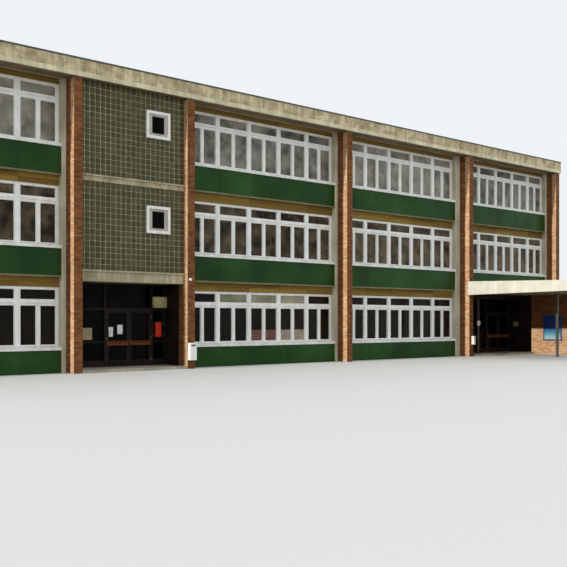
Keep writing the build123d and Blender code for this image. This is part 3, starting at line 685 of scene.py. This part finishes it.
floor_heights = [lines_of(f"front_windows_{storey}")[2] for storey in ("ground", "first", "second")]
sash_spans = np.stack([modules[:, :, 0:2], modules[:, :, 2:4]], 2)
light_spans = modules[:, :, (0, 3)]
STOREY_BAYS = {"front": (slice(-1), slice(None), slice(None)), "rear": (slice(None),) * 3}


def openings_of(here, heights):
    """Rectangles of the panes of one storey in the given bays: casements below, one wide light above."""
    return np.concatenate([every_pair(sash_spans[here], heights[1:3]), every_pair(light_spans[here], heights[3:5])])


for side, outward in BOTH:
    openings = np.concatenate([openings_of(*storey) for storey in zip(STOREY_BAYS[side], floor_heights)])
    stacks(f"{side}_beads", bead_loops(facing(openings, outward), skin(f"{side}_glass", outward), outward),
           "frame_paint", "white_frame", closed=True)

# %% Cover strips, drip mouldings and hinges
STRIP_LEVELS = ((0.0, 0.0), (0.007, 0.0), (0.010, 0.004))
POST_STRIP = 0.090
MEETING_STRIP = 0.034
MEETING_RISE = 0.05
DRIP_HEIGHT = 0.035
DRIP_REACH = 0.028
DRIP_RISE = 0.09
HINGE_RADIUS = 0.008
HINGE_LENGTH = 0.070
HINGE_OFFSET = 0.20
HINGE_SHIFT = 0.004
WINDOW_NODE = {"front": "front_windows_first", "rear": "rear_windows"}


def around(centres, width):
    """Spans of one width round centres."""
    centres = centres.ravel()
    return np.stack([centres - width / 2, centres + width / 2], 1)


def window_trim(here, heights, side, outward):
    """Post covers over the full height, meeting strips over the sashes, and drips over each module."""
    posts, frames = (skin(WINDOW_NODE[side], outward, step) for step in (0, 1))
    drip = heights[2] + DRIP_RISE
    return (plates(around(middles[here], POST_STRIP), (heights[0], heights[-1]), posts, outward, STRIP_LEVELS),
            plates(around(modules[here][:, :, 1:3].mean(-1), MEETING_STRIP), (heights[1], heights[2] + MEETING_RISE),
                   frames, outward, STRIP_LEVELS),
            sloped_strips(light_spans[here], (drip, drip + DRIP_HEIGHT), frames, outward, DRIP_REACH,
                          DRIP_HEIGHT * 0.75))


def hinge_bars(here, heights, side, outward):
    """Two hinge barrels on the outer stile of every sash, clear of the glass."""
    outer = (light_spans[here] + (-HINGE_SHIFT, HINGE_SHIFT)).ravel()
    low = np.array((heights[1] + HINGE_OFFSET, heights[2] - HINGE_OFFSET - HINGE_LENGTH))
    y = skin(WINDOW_NODE[side], outward) + outward[1] * HINGE_RADIUS
    start = np.stack([np.repeat(outer, 2), np.full(2 * outer.size, y), np.tile(low, outer.size)], 1)
    return bars(start, start + HINGE_LENGTH * UP, HINGE_RADIUS, 8)


for side, outward in BOTH:
    trims = [window_trim(*storey, side, outward) for storey in zip(STOREY_BAYS[side], floor_heights)]
    stacks(f"{side}_window_trim_strips", np.concatenate([rings for kind in zip(*trims) for rings in kind]),
           "frame_paint", "white_frame")
for side, outward in BOTH:
    hinges = [hinge_bars(*storey, side, outward) for storey in zip(STOREY_BAYS[side], floor_heights)]
    stacks(f"{side}_hinges", np.concatenate(hinges), "frame_paint", "white_frame")

# %% [markdown]
# ## Glass blocks
# The stair is lit through walls of square glass blocks, dark from outside, with pale mortar between them. A
# block is pressed glass with a rounded rim and a slightly hollow face that bends what it mirrors. Each one
# here is a short stack of rounded squares on the slab, which stays in the joints as mortar.

# %% Block helpers
BLOCK_JOINT = 0.030
BED_JOINT = 0.020
BLOCK_PITCH = 0.2
RIM_CORNER = 0.022
BLOCK_LEVELS = ((0.0, 0.0), (0.010, 0.0), (0.016, 0.005), (0.0175, 0.014), (0.015, 0.030), (0.013, 0.060))


def rounded_rectangles(rects, origin, outward, levels, corner, steps=2):
    """Stacks of rectangles whose corners are arcs: centre of the arc plus corner * (cos t, sin t), with the
    outline drawn in by each level's inset."""
    angle = (np.arange(4)[:, None] * 90 + np.linspace(0, 90, steps + 1)[None]) * math.pi / 180
    cosine, sine = np.cos(angle).ravel(), np.sin(angle).ravel()
    right_half, upper_half = np.repeat((1, 0, 0, 1), steps + 1), np.repeat((1, 1, 0, 0), steps + 1)
    rings = []
    for height, inset in levels:
        r = max(corner - 0.4 * inset, 0.004)
        left, right, bottom, top = np.hsplit(rects + (inset + r) * DRAWN_IN, 4)
        rings.append(on_wall(np.where(right_half, right, left) + r * cosine,
                             np.where(upper_half, top, bottom) + r * sine, height, origin, outward))
    return np.stack(rings, 1)


def divided(edges):
    """Joint lines from the first to the last edge, as near to the pitch as fits between neighbouring edges."""
    parts = [even_edges(low, high, BLOCK_PITCH) for low, high in zip(edges, edges[1:])]
    return np.unique(np.round(np.concatenate(parts), 5))


def block_field(x_edges, z_edges):
    """Rectangles of the blocks between joint lines, without those inside the hole between the inner edges."""
    rects = every_pair(pieces_between(divided(x_edges), BLOCK_JOINT), pieces_between(divided(z_edges), BED_JOINT))
    if len(x_edges) < 4:
        return rects
    centre_x, centre_z = rects[:, :2].mean(1), rects[:, 2:].mean(1)
    inside = (centre_x > x_edges[1]) & (centre_x < x_edges[2]) & (centre_z > z_edges[1]) & (centre_z < z_edges[2])
    return rects[~inside]


print("blocks at a pitch of", BLOCK_PITCH, "m with upright joints of", BLOCK_JOINT, "m")

# %% Fields of glass blocks
block_x, _, block_z = lines_of("front_glass_blocks")
block_z = block_z.reshape(-1, 4)
rear_block_z = lines_of("rear_glass_blocks")[2].reshape(-1, 2)
print("block lines", block_x, block_z.ravel())
fields = {"front": [block_field(block_x, heights) for heights in block_z],
          "rear": [block_field(block_x[[0, -1]], heights) for heights in rear_block_z]}
for side, outward in BOTH:
    rects = facing(np.concatenate(fields[side]), outward)
    plane = skin(f"{side}_glass_blocks", outward) * np.abs(outward)
    stacks(f"{side}_block_faces", rounded_rectangles(rects, plane, outward, BLOCK_LEVELS, RIM_CORNER),
           "pressed_glass", "glass_block", smooth=True, tones=rng.random(len(rects)))

# %% [markdown]
# ## Fascia, roof and soffits
# The roof edge is clad with fibre cement boards, jointed about every 1.7 m and stained by rain, over a paler
# strip. Under the eaves run stained boards, and the flat roof is covered with laid felt, lapped like shingles
# so that water runs off. All of these are plates or wedges again, set out from the roof's own lines.

# %% Fascia boards and edge strips
FASCIA_PITCH = 1.66
FASCIA_GAP = 0.008
FASCIA_MARGIN = 0.006
STRIP_MARGIN = 0.002
FASCIA_LEVELS = ((0.0, 0.0), (0.005, 0.0), (0.007, 0.002))
EDGE_LEVELS = ((0.0, 0.0), (0.003, 0.0), (0.004, 0.001))
_, fascia_y, long_z = lines_of("long_fascias")
fascia_x, _, end_z = lines_of("end_fascias")
strip_low, strip_high, *_, fascia_top = np.unique(np.concatenate([long_z, end_z]))
board_z = (strip_high + FASCIA_MARGIN, fascia_top - FASCIA_MARGIN)
strip_z = (strip_low + STRIP_MARGIN, strip_high - STRIP_MARGIN)
board_rings, strip_rings = [], []
for outward, lines, across in ((FRONT, fascia_y, fascia_x), (REAR, fascia_y, fascia_x),
                               (LEFT, fascia_x, fascia_y), (RIGHT, fascia_x, fascia_y)):
    strip_plane, board_plane = lines[[-1, -2]] if outward.sum() > 0 else lines[:2]
    edges = even_edges(across[1], across[-2], FASCIA_PITCH)
    strip_edges = edges[::2] if len(edges) % 2 else np.append(edges[::2], edges[-1])
    board_rings.append(plates(pieces_between(edges, FASCIA_GAP), board_z, board_plane, outward, FASCIA_LEVELS))
    strip_rings.append(plates(pieces_between(strip_edges, FASCIA_GAP / 2), strip_z, strip_plane, outward, EDGE_LEVELS))
stacks("fascia_boards", np.concatenate(board_rings), "cement_board", "fascia")
stacks("fascia_strips", np.concatenate(strip_rings), "fascia_edge", "fascia")

# %% Capping joints
JOINT_COVER = 0.060
COVER_THICKNESS = 0.003
COVER_PITCH = 3.0
FIRST_COVER = 2.9
LAST_COVER = 1.0
capping_y, capping_x = lines_of("long_cappings")[1], lines_of("end_cappings")[0]
cover_z = lines_of("long_cappings")[2][[0, -1]] + (0.0, COVER_THICKNESS)
covers = []
for turned, lines, run in ((1, capping_y, capping_x), (-1, capping_x, capping_y)):
    along = around(np.arange(run[0] + FIRST_COVER, run[-1] - LAST_COVER, COVER_PITCH), JOINT_COVER)
    for span in (lines[:2], lines[-2:]):
        covers.append(boxes(*(along, span + (-COVER_THICKNESS, COVER_THICKNESS))[::turned], cover_z))
stacks("capping_joint_covers", np.concatenate(covers), "dark_sheet", "dark_metal")

# %% Roof felt
FELT_WIDTH = 0.95
FELT_LAP = 0.009
FELT_THICKNESS = 0.003
canopy_x, canopy_y, canopy_z = zip(*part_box("canopy_slab"))
before_fins = (canopy_y[0], front_y)


def felt_sheets(x, y, z):
    """Sheets across a flat roof, each a wedge that lies on the next one like a shingle."""
    sheets = boxes(x, pieces_between(even_edges(*y, FELT_WIDTH), 0.0), (z, z + FELT_LAP))
    sheets[:, 1, 2:, 2] = z + FELT_THICKNESS
    return sheets


felt = np.concatenate([felt_sheets(fascia_x[3:5], fascia_y[3:5], skin("roof_slab", UP)),
                       felt_sheets(canopy_x, before_fins, canopy_z[1])])
stacks("roof_felt_sheets", felt, "roof_felt", "concrete")

# %% Soffit boards
SOFFIT_BOARD = 0.118
SOFFIT_THICKNESS = 0.008
SOFFIT_MARGIN = 0.01
STAIR_BAY = 1


def soffit_boards(x, y, z):
    """Boards side by side under a soffit, along x, with open joints."""
    return boxes(x, pieces_between(even_edges(*y, SOFFIT_BOARD), BOARD_GAP), (z - SOFFIT_THICKNESS, z))


under = []
for number, span in enumerate(zip(fin_x[:-1, 1], fin_x[1:, 0])):
    kind = "glass_blocks" if number == STAIR_BAY else "columns"
    under += [soffit_boards(span, (front_y + SOFFIT_MARGIN, skin(f"front_{kind}", FRONT)), eaves),
              soffit_boards(span, (skin(f"rear_{kind}", REAR), rear_y - SOFFIT_MARGIN), eaves)]
stacks("eaves_soffit_boards", np.concatenate(under), "soffit_stain", "tan_board")
stacks("canopy_soffit_boards", soffit_boards(canopy_x, before_fins, canopy_z[0]), "soffit_stain", "tan_board")

# %% [markdown]
# ## Entrance doors
# Each leaf is a dark metal frame round one pane, with a tall kick rail, a round push bar and three hinge
# knuckles. The solid leaf of the model has its pane and frame in one piece, so it can wear one finish only.
# A new leaf of the same size takes its place: closed loops for the frame, a clear pane and turned bars.

# %% Door helpers
LEAF_THICKNESS = 0.045
LEAF_STILE = 0.090
LEAF_KICK = 0.220
LEAF_PANE = 0.010
LEAF_SECTION = ((0.0, -LEAF_THICKNESS), (0.0, -0.003), (0.03, 0.0), (0.97, 0.0), (1.0, -0.003), (1.0, -LEAF_THICKNESS))
LEAF_BEAD = (0.014, 0.012)
KNUCKLE_REACH = 0.012
KNUCKLE_SHIFT = 0.003
KNUCKLE_GAP = 0.0003
KNUCKLE_RADIUS = 0.009
KNUCKLE_HEIGHT = 0.110
KNUCKLE_SHARES = np.array((0.12, 0.5, 0.88))
STRAP_REACH = 0.034
STRAP_LEVELS = ((0.0, 0.0), (0.0035, 0.0), (0.0045, 0.001))
BAR_HEIGHT = 1.040
BAR_RADIUS = 0.016
BAR_REACH = 0.064
FOOT_RADIUS = 0.011
FOOT_INSET = 0.030
ROSE_RADIUS = 0.024
ROSE_DEPTH = 0.008
PUSH_PLATE = (0.885, 1.015)
PUSH_LEVELS = ((0.0, 0.0), (0.006, 0.0), (0.009, 0.003))
PUSH_MARGIN = 0.02
hinge_y = screen_y - KNUCKLE_GAP - KNUCKLE_RADIUS
pane_y = screen_y + (LEAF_THICKNESS - LEAF_PANE) / 2


def section_loops(outer, inner, plane, outward, section):
    """Loops between two rectangles: each section point (s, h) is outer * (1 - s) + inner * s, h off the plane."""
    return np.stack([outline((1 - share) * outer + share * inner, height, plane * np.abs(outward), outward)
                     for share, height in section], 1)


print("pane of a leaf", round((pane_y - screen_y) * 1000, 1), "mm behind its face")


# %% Door leaves
def door_leaf(door, inward):
    """Frame, pane, bead, push bar and hinges of one leaf; inward is 1 where it runs towards +X from its hinge."""
    (low_x, high_x), _, (bottom, top) = zip(*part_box(door))
    if inward > 0:
        low_x = hinge_x = low_x + KNUCKLE_REACH
    else:
        high_x = hinge_x = high_x - KNUCKLE_REACH
    outer = np.array([(low_x, high_x, bottom, top)])
    inner = outer + (LEAF_STILE, -LEAF_STILE, LEAF_KICK, -LEAF_STILE)

    def part(name, rings, finish, slot="dark_frame", **more):
        return stacks(f"{door}_{name}", rings, finish, slot, body=door, **more)

    leaf = part("frame", section_loops(outer, inner, screen_y, FRONT, LEAF_SECTION), "bronze_frame", closed=True)
    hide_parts(door)
    part("pane", boxes(inner[:, :2], (pane_y, pane_y + LEAF_PANE), inner[:, 2:]), "door_glass", "window_glass")
    part("beads", bead_loops(inner, pane_y, FRONT, *LEAF_BEAD), "bronze_frame", closed=True)
    ends = np.array([(x, screen_y, BAR_HEIGHT) for x in (low_x + LEAF_STILE / 2, high_x - LEAF_STILE / 2)])
    part("push_bar", bars(*(ends + BAR_REACH * FRONT), BAR_RADIUS, 14, SOFT_END), "bar_lacquer", smooth=True)
    feet = ends + np.outer((FOOT_INSET, -FOOT_INSET), RIGHT)
    part("bar_feet", np.concatenate([bars(feet, feet + BAR_REACH * FRONT, FOOT_RADIUS, 14, SOFT_END),
                                     bars(feet, feet + ROSE_DEPTH * FRONT, ROSE_RADIUS, 14, FLAT_END)]),
         "worn_steel", smooth=True)
    part("push_plate", plates(ends[:, 0] + (-PUSH_MARGIN, PUSH_MARGIN), PUSH_PLATE, screen_y, FRONT, PUSH_LEVELS),
         "bar_lacquer")
    middle = bottom + KNUCKLE_SHARES * (top - bottom)
    axis_x = hinge_x - inward * KNUCKLE_SHIFT
    base = np.array([(axis_x, hinge_y, z - KNUCKLE_HEIGHT / 2) for z in middle])
    part("knuckles", bars(base, base + KNUCKLE_HEIGHT * UP, KNUCKLE_RADIUS, 12, SOFT_END), "dark_sheet", smooth=True)
    part("straps", plates(sorted((axis_x, hinge_x + inward * STRAP_REACH)), around(middle, KNUCKLE_HEIGHT), screen_y,
                          FRONT, STRAP_LEVELS), "dark_sheet")


for entrance in ("stair", "hall"):
    door_leaf(f"{entrance}_door_left", 1)
    door_leaf(f"{entrance}_door_right", -1)

# %% [markdown]
# ## Screens beside and over the doors
# The lights beside the doors get the same bead as the windows, in dark metal, and a rail at the height of the
# push bars. Each screen's post and rail lines come from the model, and the panes lie between them.

# %% Beads and rails of the screens
RAIL_HEIGHT = 0.060
RAIL_LEVELS = ((0.0, 0.0), (0.046, 0.0), (0.050, 0.004))
entrance_glass_y = skin("entrance_glass", FRONT)
for entrance in ("stair", "hall"):
    x, _, z = lines_of(f"{entrance}_screen")
    spans = x[1:-1].reshape(-1, 2)
    door_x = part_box(f"{entrance}_door_left")[0][0]
    beside = spans[(spans[:, 0] > door_x + 0.1) | (spans[:, 1] < door_x)]
    lights = np.concatenate([every_pair(beside, z[1:3]), every_pair(spans, z[3:5])])
    stacks(f"{entrance}_screen_beads", bead_loops(lights, entrance_glass_y, FRONT), "bronze_frame", "dark_frame",
           closed=True)
    stacks(f"{entrance}_screen_rails", plates(beside, (BAR_HEIGHT - RAIL_HEIGHT, BAR_HEIGHT), entrance_glass_y, FRONT,
                                              RAIL_LEVELS), "bronze_frame", "dark_frame")

# %% [markdown]
# ## Small things at the entrances
# Blank sheets hang on the stair door, a bare plate on the light beside it, a red box on two rails and a long
# lamp over the transom. Each is carried by something: a sheet by the pane, the box by rails between two posts.

# %% Entrance fittings
SHEET_LEVELS = ((0.0, 0.0), (0.0008, 0.0))
PLATE_LEVELS = ((0.0, 0.0), (0.003, 0.0), (0.004, 0.002))
PAPERS = ((-8.515, -8.330, 1.395, 1.570), (-8.500, -8.335, 1.210, 1.385), (-8.150, -7.930, 1.310, 1.650))


def rounded_block(x, y, z, corner=0.02):
    """Box with rounded upright edges and a softened front: stacked outlines from its back to its front face."""
    depth = y[1] - y[0]
    levels = ((0.0, 0.0), (depth - 0.012, 0.0), (depth - 0.004, 0.003), (depth, 0.010))
    return rounded_rectangles(np.array([(*x, *z)]), y[1] * np.abs(FRONT), FRONT, levels, corner, 3)


stacks("door_papers", rectangles_on(PAPERS, pane_y * np.abs(FRONT), FRONT, SHEET_LEVELS), "blank_paper",
       "canopy_white", body="stair_door_left")
stacks("bare_plate_left", plates((-9.62, -9.14), (1.105, 1.54), entrance_glass_y, FRONT, PLATE_LEVELS), "bare_plate",
       "canopy_white")
stacks("red_box_rails", boxes(lines_of("stair_screen")[0][-3:-1] + (-0.05, 0.03), (screen_y - 0.006, screen_y),
                              ((1.25, 1.28), (1.66, 1.69))), "dark_sheet", "dark_frame")
red_box = [rounded_block((-6.560, -6.325), (screen_y - 0.126, screen_y - 0.006), (1.18, 1.75)),
           rounded_block((-6.540, -6.345), (screen_y - 0.132, screen_y - 0.120), (1.21, 1.72), 0.012)]
stacks("red_box", np.concatenate(red_box), "signal_red", "canopy_white")
stacks("entrance_lamp", rounded_block((-6.66, -6.07), (screen_y - 0.11, screen_y), (2.30, 2.72), 0.04), "lamp_cover",
       "canopy_white")

# %% [markdown]
# ## Recesses, stair windows and small fittings
# The side walls of both recesses and the hall bay's lowest blind box get nearly black boards: painted shade, for
# the deep shade of the doors. The two stair windows have a white surround with a greyer casement inside it, whose
# grey is painted shade of the deep reveal. A white box hangs on a fin beside each entrance, and a slim post with a
# blank round disc stands before the hall screen.

# %% Painted shade: dark boards in the recesses
SHADE_BOARD_WIDTH = 0.19


def painted_shade_cover(low, high, plane, outward):
    """Upright near-black boards with open joints over a recess wall between two coordinates: painted shade."""
    spans = pieces_between(even_edges(low, high, SHADE_BOARD_WIDTH), BOARD_GAP)
    return plates(spans, (step_z, recess_z), plane, outward, BOARD_LEVELS)


hall_x, hall_y, _ = lines_of("hall_recess_wall")
box_spans = pieces_between(np.linspace(hall_x[1], side_x[0], 5), BOARD_GAP)
# Near-black boards on the recess sides and over the hall bay's lowest blind box: painted shade.
painted_shade_pieces = [painted_shade_cover(stair_y[0], screen_y, stair_x[1], RIGHT), painted_shade_cover(stair_y[0], screen_y, stair_x[2], LEFT),
         painted_shade_cover(hall_y[0], screen_y, hall_x[1], RIGHT), painted_shade_cover(PAINTED_SHADE_FROM, screen_y, side_x[0], LEFT),
         plates(box_spans, box_heights[0], skin("front_blind_boxes", FRONT), FRONT, BOARD_LEVELS)]
stacks("recess_painted_shade", np.concatenate(painted_shade_pieces), "painted_shade_board", "dark_frame")

# %% Stair windows
SURROUND = 0.105
SURROUND_SECTION = ((0.0, 0.0), (0.0, 0.026), (0.15, 0.032), (0.85, 0.032), (1.0, 0.024), (1.0, 0.0))
CASEMENT_SECTION = ((0.0, 0.0), (0.0, 0.010), (0.55, 0.008), (0.9, 0.004), (1.0, 0.002), (1.0, 0.0))
ring_x, ring_y, ring_z = lines_of("stair_window_frames")
ring_z = ring_z.reshape(2, -1)
outer = every_pair(ring_x[[0, -1]], ring_z[:, [0, -1]])
middle = outer + SURROUND * DRAWN_IN
inner = every_pair(ring_x[[2, -3]], ring_z[:, [2, -3]])
stacks("stair_window_surrounds", section_loops(outer, middle, ring_y[0], FRONT, SURROUND_SECTION), "frame_paint",
       "white_frame", closed=True)
# The casement's greyer paint is painted shade of the deep reveal inside the white surround.
stacks("stair_window_casements", section_loops(middle, inner, ring_y[0], FRONT, CASEMENT_SECTION), "casement_painted_shade",
       "white_frame", closed=True)

# %% White boxes, post and disc
POST_WIDTH = 0.10
POST_AT = np.array((12.69, -1.72))
DISC_HEIGHT = 1.68
DISC_RADIUS = 0.14
DISC_THICKNESS = 0.012
FIN_BOXES = (((-6.04, -5.74), (front_y - 0.16, front_y), (0.32, 0.97)),
             ((10.99, 11.14), (front_y - 0.14, front_y), (0.60, 1.03)))
SMALL_LAMP = ((-5.99, -5.89), (front_y - 0.07, front_y), (3.30, 3.40))
stacks("fin_boxes", np.concatenate([rounded_block(*spans, 0.025) for spans in (*FIN_BOXES, SMALL_LAMP)]),
       "white_enamel", "canopy_white")
x, y, z = np.array(FIN_BOXES).transpose(1, 0, 2)
stacks("fin_box_slots", boxes(x + (0.05, -0.05), y[:, :1] + (-0.002, 0.010), z[:, 1:] + (-0.12, -0.06)),
       "dark_sheet", "dark_metal")
stacks("hall_post", boxes(*around(POST_AT, POST_WIDTH), (step_z, box_heights[0, 0])), "dark_sheet", "dark_metal")
stacks("bare_plate_hall", plates((-1.60, -1.26), (1.49, 1.75), side_x[0] - BOARD_LEVELS[-1][0], LEFT, PLATE_LEVELS),
       "bare_plate", "canopy_white")
disc_at = np.array((POST_AT[0], POST_AT[1] - POST_WIDTH / 2, DISC_HEIGHT))
stacks("blank_disc", bars(disc_at, disc_at + DISC_THICKNESS * FRONT, DISC_RADIUS, 28), "white_enamel", "canopy_white")

# %% Notice board and window films
POSTER_TOP_AT_SHADOW_LINE = 1.37
FILM_HEIGHT = 0.44
NOTICE_MARGIN = 0.02
NOTICE_LEVELS = ((0.0, 0.0), (0.002, 0.0))
notice_x, notice_y, notice_z = lines_of("notice_board")
# The sheet runs from pale at its foot to navy at its top, which lies on the canopy's shadow line: partly its own print
# and partly painted sunlight.
poster = new_material("blank_poster", (0.2, 0.4, 0.45), 0.5)
poster_sunlit_share = add(poster, "MapRange", {"Value": place(poster, 2), "From Min": notice_z[1], "From Max": POSTER_TOP_AT_SHADOW_LINE})[0]
feed(poster, "Base Color", ramp(poster, poster_sunlit_share, (0.0, (0.40, 0.47, 0.47)), (0.4, (0.13, 0.33, 0.40)),
                                (0.75, (0.015, 0.16, 0.30)), (1.0, (0.010, 0.060, 0.20))))
sheet_z = (notice_z[1] + NOTICE_MARGIN, POSTER_TOP_AT_SHADOW_LINE - NOTICE_MARGIN / 2)
stacks("notice_sheet", plates(notice_y[1:3] + (NOTICE_MARGIN, -NOTICE_MARGIN), sheet_z, notice_x[1], LEFT,
                              NOTICE_LEVELS), "blank_poster", "canopy_white")

ground = floor_heights[0]
film_low = ground[1] + BEAD_WIDTH
low_film, high_film = (film_low, film_low + FILM_HEIGHT), (ground[3] + BEAD_WIDTH, ground[4] - BEAD_WIDTH)
# The films of the upper lights in the second bay of windows are a painted reflection of sky and trees; the red and
# pale films low in the sashes are curtains.
for kind, spans, heights in (("red", sash_spans[1, 2], low_film), ("pale", sash_spans[1, 3], low_film),
                             ("painted_sky", light_spans[1, 1:4], high_film)):
    stacks(f"{kind}_window_films", plates(spans + (BEAD_WIDTH, -BEAD_WIDTH), heights, skin("front_glass", FRONT),
                                          FRONT, SHEET_LEVELS), f"film_{kind}", "canopy_white")

# %% Feet of the canopy's posts
FOOT_MARGIN = np.array((-0.05, 0.05))
BOLT_MARGIN = np.array((-0.028, 0.028))
FOOT_HEIGHT = 0.012
BOLT_HEIGHT = 0.014
BOLT_RADIUS = 0.011
post_x, post_y, _ = lines_of("canopy_posts")
post_y = post_y.reshape(-1, 2)
bolt_at = np.array([(x, y, FOOT_HEIGHT) for low_high in post_y + BOLT_MARGIN for x in post_x + BOLT_MARGIN
                    for y in low_high])
stacks("canopy_post_feet", boxes(post_x + FOOT_MARGIN, post_y + FOOT_MARGIN, (0.0, FOOT_HEIGHT)), "dark_sheet",
       "dark_metal")
stacks("canopy_post_bolts", bars(bolt_at, bolt_at + BOLT_HEIGHT * UP, BOLT_RADIUS, 6), "worn_steel", "dark_metal")
